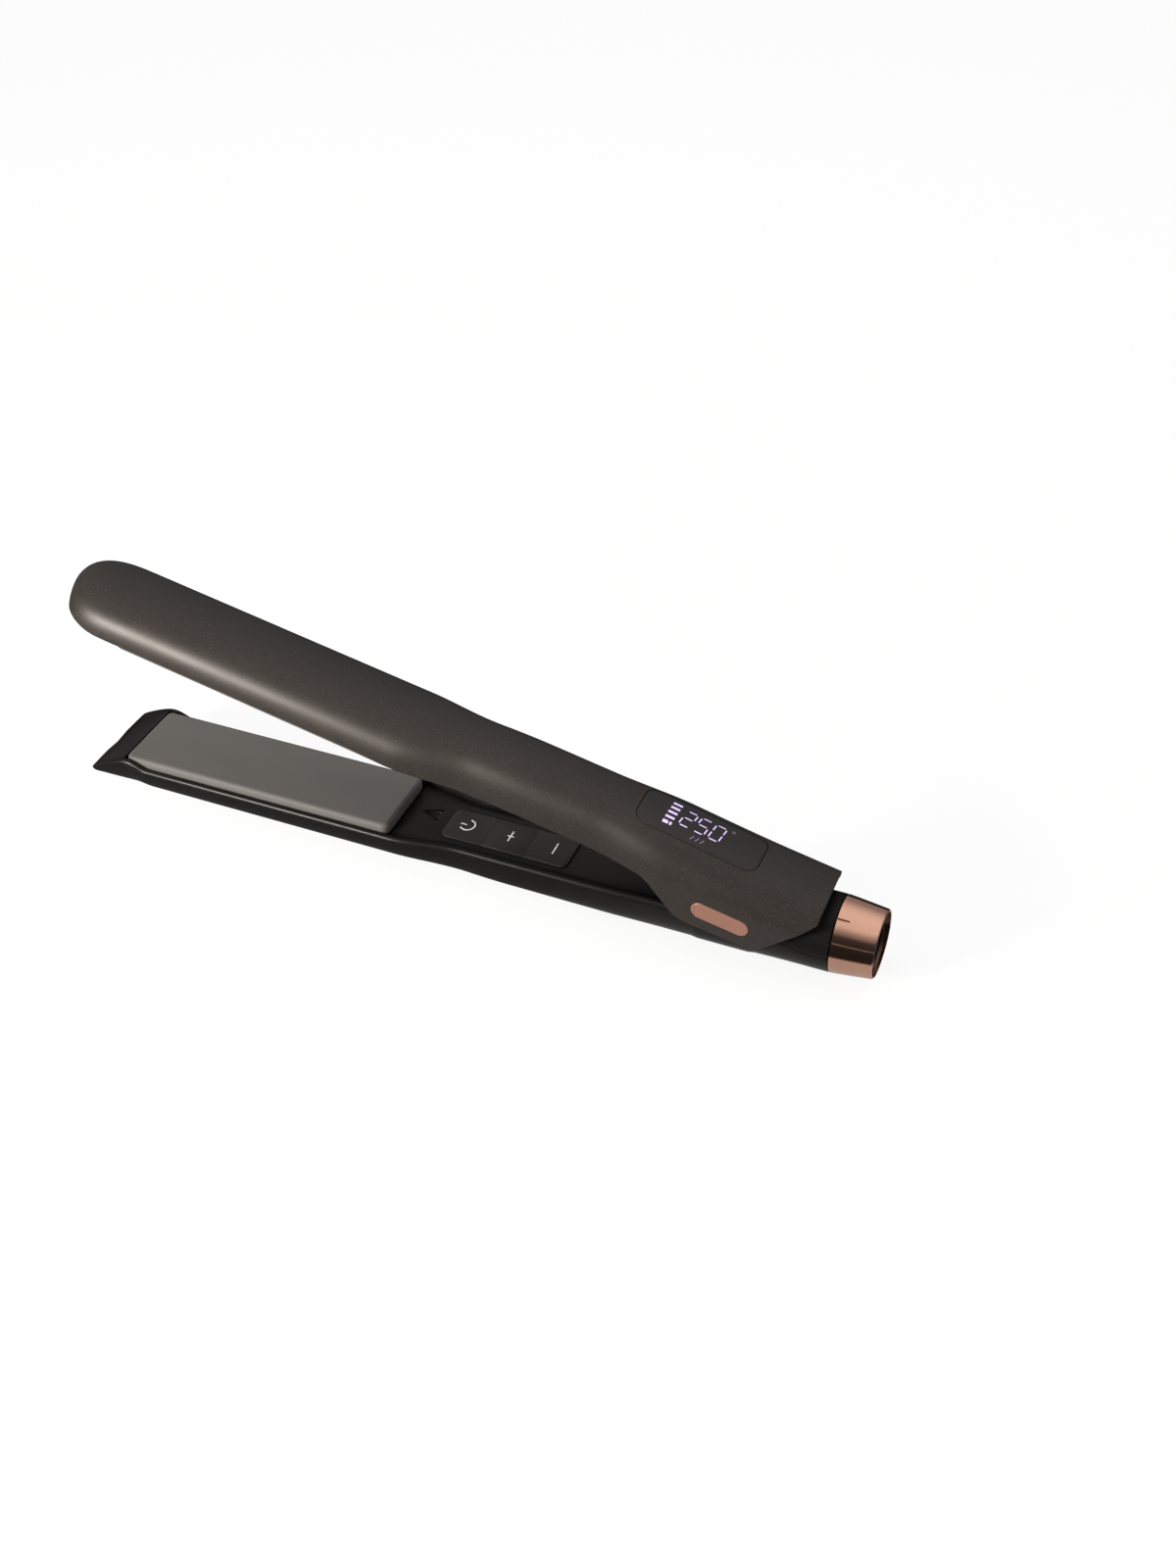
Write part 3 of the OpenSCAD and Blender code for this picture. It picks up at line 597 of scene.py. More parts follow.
def material(name, base, *, rough, metal=0.0, vary=0.12, vary_scale=60, grain=2600, bump=0.15,
             bump_mm=0.02, rough_var=0.08, coat=0.0, spec=0.5, stretch=(1, 1, 1), sheen=0.0,
             emission=0.0, speckle=0.0, tint=(1, 1, 1)):
    """Principled material with a broad noise and a fine one.

    The broad noise (vary_scale) shifts the colour by the share vary and the roughness by
    rough_var. The fine noise (grain) drives the bump, bump_mm high, and the light speckle.
    stretch scales the noise space along each axis.
    """
    made = bpy.data.materials.new(name)
    made.use_nodes = True
    tree = made.node_tree
    shader = tree.nodes["Principled BSDF"]
    coords = add_node(tree, "TexCoord")
    space = add_node(tree, "Mapping", {"Vector": coords.outputs["Object"], "Scale": stretch})
    broad, fine = (
        add_node(tree, "TexNoise", {
            "Scale": scale, "Detail": detail, "Vector": space.outputs["Vector"]}).outputs["Fac"]
        for scale, detail in ((vary_scale, 4), (grain, 3)))
    colour = add_ramp(tree, broad, [(0.3, tuple(c * (1 - vary) for c in base)),
                                    (0.7, tuple(c * (1 + vary) for c in base))])
    if speckle:
        amount = add_ramp(tree, fine, [(0.56, 0), (0.72, speckle)])
        mix = add_node(tree, "Mix", {
            "Factor": amount, "A": colour, "B": (*[c * 2.6 + 0.02 for c in base], 1),
        }, data_type="RGBA")
        colour = mix.outputs["Result"]
    roughness = add_node(tree, "MapRange", {
        "To Min": rough - rough_var, "To Max": rough + rough_var, "Value": broad})
    relief = add_node(tree, "Bump", {
        "Strength": bump, "Distance": bump_mm * MM, "Height": fine})
    set_inputs(tree, shader, {
        "Base Color": colour, "Roughness": roughness.outputs["Result"],
        "Normal": relief.outputs["Normal"], "Metallic": metal, "Specular IOR Level": spec,
        "Specular Tint": (*tint, 1), "Coat Weight": coat, "Coat Roughness": 0.1})
    if sheen:
        set_inputs(tree, shader, {"Sheen Weight": sheen, "Sheen Roughness": 0.4})
    if emission:
        set_inputs(tree, shader, {"Emission Color": colour, "Emission Strength": emission})
    return made


MATERIALS = {
    "shell_black": material(
        "soft_black_shell", srgb(38, 34, 31), rough=0.42, vary=0.06, grain=1800, bump=0.5,
        bump_mm=0.03, rough_var=0.03, spec=0.31, speckle=0.4, tint=(1.0, 0.93, 0.87)),
    # darker copy of the same soft black plastic as shell_black, for the lower arm and neck: the
    # darker colour is painted shade
    "shell_low_shaded": material(
        "soft_black_shell_shaded_copy", srgb(17, 16, 15), rough=0.32, vary=0.08, bump=0.4,
        rough_var=0.03, spec=0.2, speckle=0.08, tint=(1.0, 0.96, 0.92)),
    "frame_black": material(
        "gloss_black_frame", srgb(23, 21, 20), rough=0.38, vary=0.15, grain=1800, bump=0.12,
        bump_mm=0.01, rough_var=0.05, spec=0.13, tint=(1.0, 0.95, 0.9)),
    "plate_grey": material(
        "ceramic_plate_grey", srgb(88, 85, 82), rough=0.48, spec=0.09, vary=0.04, grain=3200,
        bump=0.12, bump_mm=0.008, rough_var=0.03, stretch=(0.25, 1, 1)),
    "ceramic_heater": material(
        "ceramic_heater_white", (0.62, 0.58, 0.52), rough=0.7, vary=0.08, grain=1500, bump=0.4),
    "carrier_plastic": material(
        "carrier_dark_plastic", (0.045, 0.043, 0.04), rough=0.5, vary=0.15, grain=1200, bump=0.3),
    # dark red silicone, darkened further as painted shade where the pads show through the gap at the
    # plate's rear end
    "silicone_pad": material(
        "silicone_pad_red", (0.1, 0.03, 0.022), rough=0.6, vary=0.1, grain=900, bump=0.3,
        sheen=0.3),
    "sensor_bead": material(
        "sensor_glass_green", (0.06, 0.16, 0.08), rough=0.15, vary=0.15, coat=0.6),
    "lead_red": material(
        "lead_insulation_red", (0.42, 0.02, 0.02), rough=0.4, vary=0.1, grain=1500, bump=0.25),
    "lead_blue": material(
        "lead_insulation_blue", (0.03, 0.06, 0.28), rough=0.4, vary=0.1, grain=1500, bump=0.25),
    "key_black": material(
        "satin_key_black", srgb(36, 33, 31), rough=0.5, vary=0.05, bump=0.35, rough_var=0.03,
        spec=0.3, tint=(1.0, 0.94, 0.9)),
    "circuit_board": material(
        "solder_mask_green", (0.01, 0.11, 0.045), rough=0.3, vary=0.35, vary_scale=700,
        grain=900, bump=0.3, coat=0.4),
    "switch_grey": material("switch_tin", (0.5, 0.5, 0.49), rough=0.35, metal=0.8, vary=0.08),
    "component_black": material(
        "component_epoxy", (0.02, 0.02, 0.02), rough=0.45, vary=0.2, grain=1400, bump=0.4),
    "bracket_steel": material(
        "pressed_steel", (0.42, 0.42, 0.43), rough=0.34, metal=1.0, vary=0.08, grain=800,
        stretch=(0.1, 1, 1), bump=0.2),
    "spring_steel": material(
        "drawn_spring_steel", (0.58, 0.58, 0.6), rough=0.25, metal=1.0, vary=0.08, grain=1500),
    "screw_steel": material(
        "zinc_screw", (0.42, 0.42, 0.43), rough=0.32, metal=1.0, vary=0.1, grain=1500, bump=0.2),
    "badge_copper": material(
        "satin_copper_badge", srgb(138, 98, 82), rough=0.42, metal=0.3, vary=0.05, grain=3000,
        bump_mm=0.006, stretch=(0.2, 1, 1)),
    "swivel_black": material(
        "swivel_rubber_black", (0.014, 0.014, 0.014), rough=0.55, vary=0.15, grain=1600,
        bump=0.4, sheen=0.1),
    "bush_bronze": material(
        "sintered_bronze", (0.45, 0.28, 0.1), rough=0.45, metal=0.9, vary=0.15, grain=1800,
        bump=0.4),
    "window_smoke": material(
        "smoked_window", srgb(40, 37, 37), rough=0.36, vary=0.05, bump=0.12, bump_mm=0.01,
        rough_var=0.03, spec=0.24, tint=(1.0, 0.93, 0.9)),
    "display_white": material("display_diffuser", (0.6, 0.58, 0.7), rough=0.5, vary=0.05),
    "rose_gold": material(
        "polished_rose_gold", srgb(228, 176, 152), rough=0.12, metal=1.0, vary=0.03, grain=2400,
        bump=0.06, bump_mm=0.004, rough_var=0.03, stretch=(1, 0.15, 0.15)),
    "ink_white": material(
        "key_print_white", srgb(238, 236, 232), rough=0.5, vary=0.04, grain=3000, bump=0.1),
    "led_lavender": material(
        "display_light_lavender", srgb(196, 176, 222), rough=0.5, vary=0.08, vary_scale=900,
        grain=3000, bump=0.05, emission=0.55),
    "led_dim": material(
        "display_light_dim", srgb(112, 98, 128), rough=0.5, vary=0.08, vary_scale=900,
        grain=3000, bump=0.05, emission=0.3),
}


def paint_far_rim_shade(made, near, far):
    """Specular level going from near on the -Y side to far on the +Y side, in object space; the low
    far level is painted shade that takes the highlight off the far rim.
    """
    tree = made.node_tree
    coords = add_node(tree, "TexCoord")
    split = add_node(tree, "SeparateXYZ", {"Vector": coords.outputs["Object"]})
    level = add_node(tree, "MapRange", {
        "Value": split.outputs["Y"], "From Min": -0.002, "From Max": 0.004,
        "To Min": near, "To Max": far})
    set_inputs(tree, tree.nodes["Principled BSDF"],
               {"Specular IOR Level": level.outputs["Result"]})


# painted shade: the lower shell's far rim loses its highlight, standing in for the upper arm's shadow
paint_far_rim_shade(MATERIALS["shell_low_shaded"], near=0.16, far=0.04)


def finish_piece(ob, body, look, replaced=None):
    """Gives a piece its material and its body, and hides the CAD node it stands for."""
    ob.data.materials.clear()
    ob.data.materials.append(MATERIALS[look])
    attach(ob, body)
    if replaced:
        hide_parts(replaced)


# --------------------------------------------------------------------------------------------
# Upper arm
UP_RIM_RADIUS = 0.45
POST_RADII = (2.2, 2.6)            # screw posts, at the free end and at the shell
POST_SINK = 0.8                    # how far a post stops short of the outer surface
PILOT_RADIUS = 1.05
UP_POSTS = [(-42.6, 0, 14.25), (7.6, 0, 14.25), (-221.2, 0, 9.45), (-123, 0, 9.45)]
POCKET_GAP = 0.15                  # play round the badges and the window
BADGE_SIZE = (10, 3.2, 3.19)       # half length, half width, corner radius
WINDOW_X = -16.5
WINDOW_SIZE = (21.5, 8.3, 4.2)


def pocket(size, straight):
    return pad_outline(*(value + POCKET_GAP for value in size), straight)


def build_upper_shell():
    tip_length = UP_TAPER - UP_TIP
    stations = [UP_TIP + tip_length * (1 - math.cos(math.radians(90 * (k / 26) ** 1.35)))
                for k in range(27)]
    stations += list(np.arange(-224, -50, 2.0))
    stations += list(np.linspace(-50, UP_REAR - UP_RIM_RADIUS, 96))
    halves = []
    for x in stations:
        edge = up_edge(x) + UP_RIM_RADIUS
        halves.append(half_section(max(0.0, up_width(x)), RIM_UP, max(up_crown(x), edge + 0.25),
                                   up_power(x), edge))
    sheet = sheet_from(stations, halves)
    sheet[0, :, :] = np.array([UP_TIP, 0, 8.1])
    ob = shell("upper_shell_skin", sheet, WALL, UP_RIM_RADIUS, UP_RIM_RADIUS, up=True)

    # bosses round the hinge bushes, and screw posts
    bosses = [((0, s * 13.76, 0), (0, s * 15.3, 0), 6.0, 6.6) for s in (-1, 1)]
    posts = [((x, y, z), (x, y, top_z(x, POST_RADII[1]) - POST_SINK), *POST_RADII)
             for x, y, z in UP_POSTS]
    combine(ob, cylinders(bosses + posts, up=True), "UNION")
    bores = [((0, s * 13.0, 0), (0, s * 15.7, 0), 4.06, 4.06) for s in (-1, 1)]
    combine(ob, cylinders(bores, segments=64, up=True))
    pilots = [((x, y, z - 1), (x, y, z + (3.05 if z > 12 else 4.4)), PILOT_RADIUS, PILOT_RADIUS)
              for x, y, z in UP_POSTS]
    combine(ob, cylinders(pilots, segments=20, up=True))
    for s in (-1, 1):
        combine(ob, prism(pocket(BADGE_SIZE, 8), 15.2, 17.5, up=True,
                          place=lambda x, z, h: (x, s * h, z)))
    opening = [(x + WINDOW_X, y) for x, y in pocket(WINDOW_SIZE, 24)]
    combine(ob, prism(opening, 10.0, 25.0, up=True))
    clean(ob)
    finish_piece(ob, "upper_arm", "shell_black", "upper_shell")


build_upper_shell()


def on_top(x, y, h):
    """Point h over the window's face, which lies just under the shell's outer surface."""
    return (x, y, top_z(x, y) + h - 0.02)


def build_window():
    """Curved pane with a rounded edge."""
    radius = 0.4
    profile = [(2.2, 0.0), (1.2, 0.0), (radius + 0.1, 0.0)] + quarter(radius, (0, 30, 60, 90))
    profile += [(0.0, -1.3), (0.25, -1.5), (1.2, -1.5), (2.2, -1.5)]
    ob = pad("display_window_pane", *WINDOW_SIZE, profile, on_top, centre_x=WINDOW_X,
             straight=26, cap=7, up=True)
    finish_piece(ob, "upper_arm", "window_smoke", "display_window")


build_window()


# --------------------------------------------------------------------------------------------
# Marks of the display: thin tiles on the window
def tiles(name, outlines, look):
    verts, faces = [], []
    for outline in outlines:
        add_slab(verts, faces, outline, on_top, (0.03, -0.09))
    ob = new_mesh(name, verts, faces, up=True, smooth=30)
    finish_piece(ob, "upper_arm", look)


def lozenge(start, end, width):
    """Bar with pointed ends between two points."""
    start, end = np.array(start), np.array(end)
    along = (end - start) / np.linalg.norm(end - start)
    side = np.array([-along[1], along[0]]) * width / 2
    point = along * (width * 0.45)
    return [tuple(p) for p in (start, start + point + side, end - point + side,
                               end, end - point - side, start + point - side)]


# Seven-segment strokes between corners of a unit cell: (x, y) to (x, y)
SEGMENTS = {
    "a": ((0, 1), (1, 1)), "b": ((1, 1), (1, .5)), "c": ((1, .5), (1, 0)),
    "d": ((0, 0), (1, 0)), "e": ((0, .5), (0, 0)), "f": ((0, 1), (0, .5)),
    "g": ((0, .5), (1, .5))}
DIGITS = {"2": "abged", "5": "afgcd", "0": "abcdef"}
DIGIT_X, DIGIT_Y, DIGIT_PITCH = -23.6, 0.55, 5.15
DIGIT_WIDTH, DIGIT_HEIGHT, DIGIT_LEAN = 3.7, 7.2, 0.9
STROKE_WIDTH, STROKE_GAP = 0.44, 0.46


def build_digits():
    def cell_point(place, u, v):
        return np.array((DIGIT_X + place * DIGIT_PITCH + u * DIGIT_WIDTH + (v - 0.5) * DIGIT_LEAN,
                         DIGIT_Y + (v - 0.5) * DIGIT_HEIGHT))

    bars = []
    for place, digit in enumerate("250"):
        for segment in DIGITS[digit]:
            start, end = (cell_point(place, u, v) for u, v in SEGMENTS[segment])
            gap = (end - start) / np.linalg.norm(end - start) * STROKE_GAP
            bars.append(lozenge(start + gap, end - gap, STROKE_WIDTH))
    tiles("display_digits", bars, "led_lavender")


def build_level_bars():
    """Column of five bars towards -X of the digits; the one nearest -Y is split in two."""
    bars = []
    for k in range(5):
        y = 4.9 - k * 2.35
        x0, x1 = -28.6 - 0.1 * k, -25.4 - 0.12 * k
        if k < 4:
            bars.append(rectangle(x0, y + 0.5, x1, y - 0.5))
        else:
            bars.append(rectangle(x0, y + 0.62, x0 + 1.9, y - 0.62))
            bars.append(rectangle(x1 - 0.75, y + 0.62, x1, y - 0.62))
    tiles("display_level_bars", bars, "led_lavender")


def build_degree_ring():
    cx, cy, outer, inner, count = -6.9, 4.3, 0.62, 0.36, 12
    pieces = []
    for k in range(count):
        a, b = (2 * math.pi * (k + part) / count for part in (0.02, 0.98))
        pieces.append([(cx + r * math.cos(t), cy + r * math.sin(t))
                       for r, t in ((outer, a), (outer, b), (inner, b), (inner, a))])
    tiles("display_degree_ring", pieces, "led_dim")


def build_heat_strokes():
    """Three bent strokes, two bars each."""
    strokes = []
    for k in range(3):
        x = -18.0 + 1.75 * k
        strokes.append(lozenge((x - 0.55, -6.55), (x + 0.1, -5.7), 0.34))
        strokes.append(lozenge((x + 0.1, -5.72), (x + 0.35, -4.9), 0.34))
    tiles("display_heat_strokes", strokes, "led_dim")


build_digits()
build_level_bars()
build_degree_ring()
build_heat_strokes()

# Badges at the hinge, one on each side: pills with a raised rim. Columns: inset, distance
# from the middle plane.
BADGE_PROFILE = [
    (1.6, 16.06), (0.95, 16.06), (0.7, 16.075), (0.5, 16.13), (0.32, 16.14),
    (0.12, 16.09), (0.0, 15.95), (0.0, 15.3), (0.1, 15.24), (1.6, 15.24)]
for s, side in ((-1, "left"), (1, "right")):
    badge = pad("badge_" + side + "_pill", *BADGE_SIZE, BADGE_PROFILE,
                lambda x, z, h: (x, s * h, z), straight=12, up=True)
    finish_piece(badge, "upper_arm", "badge_copper", "badge_" + side)

# --------------------------------------------------------------------------------------------
# Lower arm
TIP_ROUND = 0.8                    # length over which the blunt tip closes
LOW_POSTS = [(6, 4.6, -14.05), (6, -4.6, -14.05), (-99, 7, -11.25), (-60, -7, -11.25),
             (-221.2, 0, -9.45), (-123, 0, -9.45)]
SLOT_X, SLOT_PITCH, SLOT_COUNT = -92, 7, 5


def neck_wall(x):
    return WALL + 1.1 * ease(NECK_WALL, x)


def build_lower_shell():
    stations = [LOW_TIP + TIP_ROUND * (1 - math.cos(math.radians(90 * k / 8))) for k in range(9)]
    stations += list(np.linspace(-239.0, -236, 10))
    # first, limit and step of each run of stations
    for run in ((-235.4, -214, 0.75), (-213.5, -124, 2.2), (-123, -88, 1.6), (-87, -14, 2.2),
                (-13, 35.2, 0.8)):
        stations += list(np.arange(*run))
    stations.append(NECK_END)
    across, along, halves, walls = [], [], [], []
    for x in stations:
        close = taper(x, LOW_TIP + TIP_ROUND, TIP_ROUND, 3)
        grow, shrink = ease((-238.5, -226), x), ease((2, 14), x)
        rim_along = 0.35 + 1.85 * grow * (1 - 0.75 * shrink)
        edge = low_rim(x) + rim_along
        half = half_section(low_width(x), low_rim(x), max(edge + 0.3, low_depth(x)),
                            low_power(x), edge)
        half[:, 0] *= close
        half[:, 1] = edge + (half[:, 1] - edge) * max(close, 0.02)
        if FLAT[0] < x < FLAT[1]:
            half[:, 1] = np.minimum(half[:, 1], LIFT)
        across.append(0.3 + 1.15 * grow * (1 - 0.72 * shrink))
        along.append(rim_along)
        halves.append(half)
        walls.append(neck_wall(x))
    sheet = sheet_from([min(x, NECK_END - 0.35) for x in stations], halves)
    sheet[0, :, :] = np.array([LOW_TIP, 0, low_rim(LOW_TIP) + 0.9])
    ob = shell("lower_shell_skin", sheet, walls, across, along, inner_radius=0.2, flip=True,
               steps=7)

    posts = [((x, y, z), (x, y, floor_z(x, abs(y) + POST_RADII[1]) + POST_SINK), *POST_RADII)
             for x, y, z in LOW_POSTS]
    combine(ob, cylinders(posts), "UNION")
    pilots = [((x, y, z + 0.5), (x, y, z - 4.4), PILOT_RADIUS, PILOT_RADIUS)
              for x, y, z in LOW_POSTS]
    combine(ob, cylinders(pilots, segments=20))
    # row of slots through the underside, each lying across the arm
    slot = pad_outline(3.9, 0.9, 0.89, 2)
    for k in range(SLOT_COUNT):
        combine(ob, prism([(SLOT_X + SLOT_PITCH * k + y, x) for x, y in slot], -26, -14))
    clean(ob)
    finish_piece(ob, "lower_arm", "shell_low_shaded", "lower_shell")


def build_neck_cover():
    stations = [11.02] + list(np.arange(11.6, 35.2, 0.8)) + [NECK_END]
    halves, walls, radii = [], [], []
    for x in stations:
        rim = -low_rim(x) + 0.03
        top = neck_top(x)
        radius = 0.12 + 0.13 * ease((11, 16), x)
        halves.append(half_section(low_width(x), rim, max(rim + 0.8, top),
                                   2.3 - 0.3 * ease(NECK, x), rim + radius))
        walls.append(min(neck_wall(x), 0.75 * max(0.8, top - rim)))
        radii.append(radius)
    sheet = sheet_from([min(max(x, 11.15), NECK_END - 0.25) for x in stations], halves)
    ob = shell("neck_cover_skin", sheet, walls, radii, radii, inner_radius=0.1, pole=False)
    clean(ob)
    finish_piece(ob, "lower_arm", "shell_low_shaded", "neck_cover")


build_lower_shell()
build_neck_cover()

# --------------------------------------------------------------------------------------------
# Heated plates: rounded long edges, eased ends, a hollow underside
PLATE_START = -225.4
PLATE_LENGTH, PLATE_WIDTH = 104.8 / 2, 14.7 / 2    # half sizes
PLATE_TOP = -0.05
PLATE_ROUND = 1.45
PLATE_PROFILE = [(PLATE_ROUND + inset, PLATE_TOP) for inset in (1.2, 0.35, 0.02)]
PLATE_PROFILE += quarter(PLATE_ROUND, range(9, 91, 9), PLATE_TOP)
PLATE_PROFILE += [(0.0, -4.05), (0.15, -4.2), (1.35, -4.2), (1.5, -4.05), (1.5, -1.85),
                  (2.2, -1.85)]
for name, sign in (("lower", 1), ("upper", -1)):
    plate = pad(name + "_plate_face", PLATE_LENGTH, 2 * PLATE_WIDTH, 2.6, PLATE_PROFILE,
                lambda x, y, h: (x, y, sign * h), centre_x=PLATE_START + PLATE_LENGTH,
                straight=24, cap=3, up=name == "upper")
    finish_piece(plate, name + "_plate_set", "plate_grey", name + "_plate")

# --------------------------------------------------------------------------------------------
# Keys: a row of three caps, each with a printed mark
KEY_ROW_START, KEY_PITCH = -104.0, 15.45
KEY_JOINTS = [KEY_ROW_START + joint * KEY_PITCH - 0.075 for joint in (1, 2)]
MARK_HEIGHTS = (-3.87, -3.98)
MARK_HALF = 0.21                   # half width of the strokes of the plus and the minus


def build_key(name):
    ob = eased(name, bevel=0.05)
    # the caps stand almost edge to edge: draw their facing sides onto one line each
    for vertex in ob.data.vertices:
        if vertex.co.z > (LIFT - 6.0) * MM:
            for joint in KEY_JOINTS:
                x = joint * MM
                if abs(vertex.co.x - x) < 0.2 * MM:
                    vertex.co.x += (0.05 if vertex.co.x < x else -0.05) * MM
    finish_piece(ob, name, "key_black", name)


def flat_point(x, y, h):
    return (x, y, h)


def finish_mark(name, key, verts, faces):
    finish_piece(new_mesh(name, verts, faces, smooth=30), key, "ink_white")


def build_power_mark():
    """Open ring with a short bar."""
    cx, cy, outer, inner, start, end, steps = -97.2, 0.5, 2.85, 2.42, -136, 84, 30
    verts, faces = [], []
    for h in MARK_HEIGHTS:
        for k in range(steps + 1):
            t = math.radians(start + (end - start) * k / steps)
            verts += [(cx + r * math.cos(t), cy + r * math.sin(t), h) for r in (outer, inner)]
    m = 2 * (steps + 1)
    for a in range(0, 2 * steps, 2):
        faces.append([a, a + 2, a + 3, a + 1])
        faces.append([m + a + 1, m + a + 3, m + a + 2, m + a])
        faces.append([a, m + a, m + a + 2, a + 2])
        faces.append([a + 1, a + 3, m + a + 3, m + a + 1])
    faces.append([0, 1, m + 1, m])
    faces.append([m - 2, m + m - 2, m + m - 1, m - 1])
    add_slab(verts, faces, rectangle(-99.6, 0.3, -97.4, 0.7), flat_point, MARK_HEIGHTS)
    finish_mark("power_mark", "power_key", verts, faces)


def build_stroke_mark(name, key, outline):
    verts, faces = [], []
    add_slab(verts, faces, outline, flat_point, MARK_HEIGHTS)
    finish_mark(name, key, verts, faces)


def plus_outline(cx, cy, x_reach, y_reach):
    b = MARK_HALF
    return [(cx + x, cy + y) for x, y in (
        (-b, -y_reach), (b, -y_reach), (b, -b), (x_reach, -b), (x_reach, b), (b, b),
        (b, y_reach), (-b, y_reach), (-b, b), (-x_reach, b), (-x_reach, -b), (-b, -b))]


def minus_outline(cx, cy, reach):
    return rectangle(cx - MARK_HALF, cy - reach, cx + MARK_HALF, cy + reach)


for name in ("power_key", "plus_key", "minus_key"):
    build_key(name)
build_power_mark()
build_stroke_mark("plus_mark", "plus_key", plus_outline(-80.9, 0.5, x_reach=1.15, y_reach=2.6))
build_stroke_mark("minus_mark", "minus_key", minus_outline(-64.3, 0.3, reach=2.7))

# --------------------------------------------------------------------------------------------
# Cord end
NOTCH_ANGLE = math.radians(27.0)   # from straight up towards -Y
SLEEVE_PROFILE = [(7.6, 27.1), (9.95, 27.1), (9.95, 47.2), (10.8, 47.2), (10.8, 48.4),
                  (7.6, 48.4)]
SWIVEL_PROFILE = [(3.7, 25.4), (8.8, 25.4), (8.8, 26.98), (7.53, 26.98), (7.53, 46.6),
                  (5.8, 46.6), (5.8, 45.2), (3.7, 45.2)]


def build_collar():
    """Tapering ring with an index notch cut in the edge towards -X."""
    wide, narrow, start = COLLAR_RADIUS, COLLAR_END_RADIUS, COLLAR_X
    end = start + COLLAR_LENGTH
    profile = [(10.02, start), (wide - 0.3, start), (wide, start + 0.3)]
    profile += [(wide + (narrow - wide) * (t ** 1.15), start + 0.3 + (COLLAR_LENGTH - 1.0) * t)
                for t in (0.2, 0.4, 0.6, 0.8)]
    profile += [(narrow, end - 0.55), (narrow - 0.1, end - 0.22), (narrow - 0.35, end),
                (11.1, end), (10.95, end - 0.15), (10.95, 47.1), (10.02, 47.1)]
    ob = revolve("collar_ring", profile, segments=192)
    c, s = math.cos(NOTCH_ANGLE), math.sin(NOTCH_ANGLE)
    notch = [(-1, -0.38), (4.2, -0.38), (4.5, 0.0), (4.2, 0.38), (-1, 0.38)]
    verts = [(start + x, y * c - h * s, COLLAR_Z + y * s + h * c)
             for h in (wide - 1.2, wide + 1.0) for x, y in notch]
    caps, sides = prism_faces(len(notch))
    faces = [face[::-1] for face in caps + sides]
    combine(ob, new_mesh("tool", verts, faces, smooth=0))
    clean(ob, 30)
    finish_piece(ob, "collar", "rose_gold", "lock_ring")


build_collar()
sleeve = revolve("neck_sleeve_tube", rounded(SLEEVE_PROFILE, 0.2), segments=128)
finish_piece(sleeve, "lower_arm", "frame_black", "neck_sleeve")
swivel = revolve("cord_swivel_body", rounded(SWIVEL_PROFILE, 0.3), segments=128)
finish_piece(swivel, "swivel", "swivel_black", "cord_swivel")

# --------------------------------------------------------------------------------------------
# Opening spring and leads, as round wire
SPRING_X, SPRING_RADIUS, SPRING_WIRE = -13.5, 3, 0.45
SPRING_TURNS, SPRING_STEPS = 6, 192
SPRING_BOTTOM = -11.5
SPRING_TOP = (4.4 + 10.05 * math.sin(OPEN)) / math.cos(OPEN) - 0.55
LEAD_RADIUS = 0.75


def build_spring():
    height = SPRING_TOP - SPRING_BOTTOM
    end_share = 1 / 6                  # closely wound share of the wire at each end
    end_rise = 0.95 / height

    def rise(u):
        if u < end_share:
            return u * end_rise / end_share
        if u > 1 - end_share:
            return 1 - (1 - u) * end_rise / end_share
        return end_rise + (u - end_share) / (1 - 2 * end_share) * (1 - 2 * end_rise)

    coil = []
    for i in range(SPRING_STEPS + 1):
        a = 2 * math.pi * SPRING_TURNS * i / SPRING_STEPS
        coil.append((SPRING_X + SPRING_RADIUS * math.cos(a), SPRING_RADIUS * math.sin(a),
                     SPRING_BOTTOM + height * rise(i / SPRING_STEPS)))
    ob = tube("opening_spring_coil", [coil], SPRING_WIRE)
    finish_piece(ob, "lower_arm", "spring_steel", "opening_spring")
    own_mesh(ob)


def lead_run(x0, x1, z0, z1, y):
    """Lead going from x0 to x1 while easing from height z0 to z1."""
    steps = 12
    path = []
    for i in range(steps + 1):
        x = x0 + (x1 - x0) * i / steps
        path.append((x, y, z0 + (z1 - z0) * ease((x0, x1), x)))
    return path


def build_leads(name, path, spread, look, body, replaced):
    """Pair of leads at y = -spread and +spread; path(y) gives the points of one."""
    ob = tube(name, [path(s * spread) for s in (-1, 1)], LEAD_RADIUS, up=body == "upper_arm")
    finish_piece(ob, body, look, replaced)


build_spring()
build_leads("lower_lead_pair",
            lambda y: [(-120.8, y, -7.2)] + lead_run(-117.5, -106.9, -7.2, -10.4, y),
            spread=4, look="lead_red", body="lower_arm", replaced="lower_leads")
build_leads("mains_lead_pair",
            lambda y: lead_run(-49, -36, -12.5, -16.3, y) + lead_run(12, 24.4, -16.3, -12, y),
            spread=0.85, look="lead_blue", body="lower_arm", replaced="mains_leads")
build_leads("upper_lead_pair",
            lambda y: ([(-120.8, y, 7.2)] + lead_run(-117.5, -100, 7.2, 9, y)
                       + lead_run(-70, -46.6, 9, 13.4, y)),
            spread=4, look="lead_red", body="upper_arm", replaced="upper_leads")

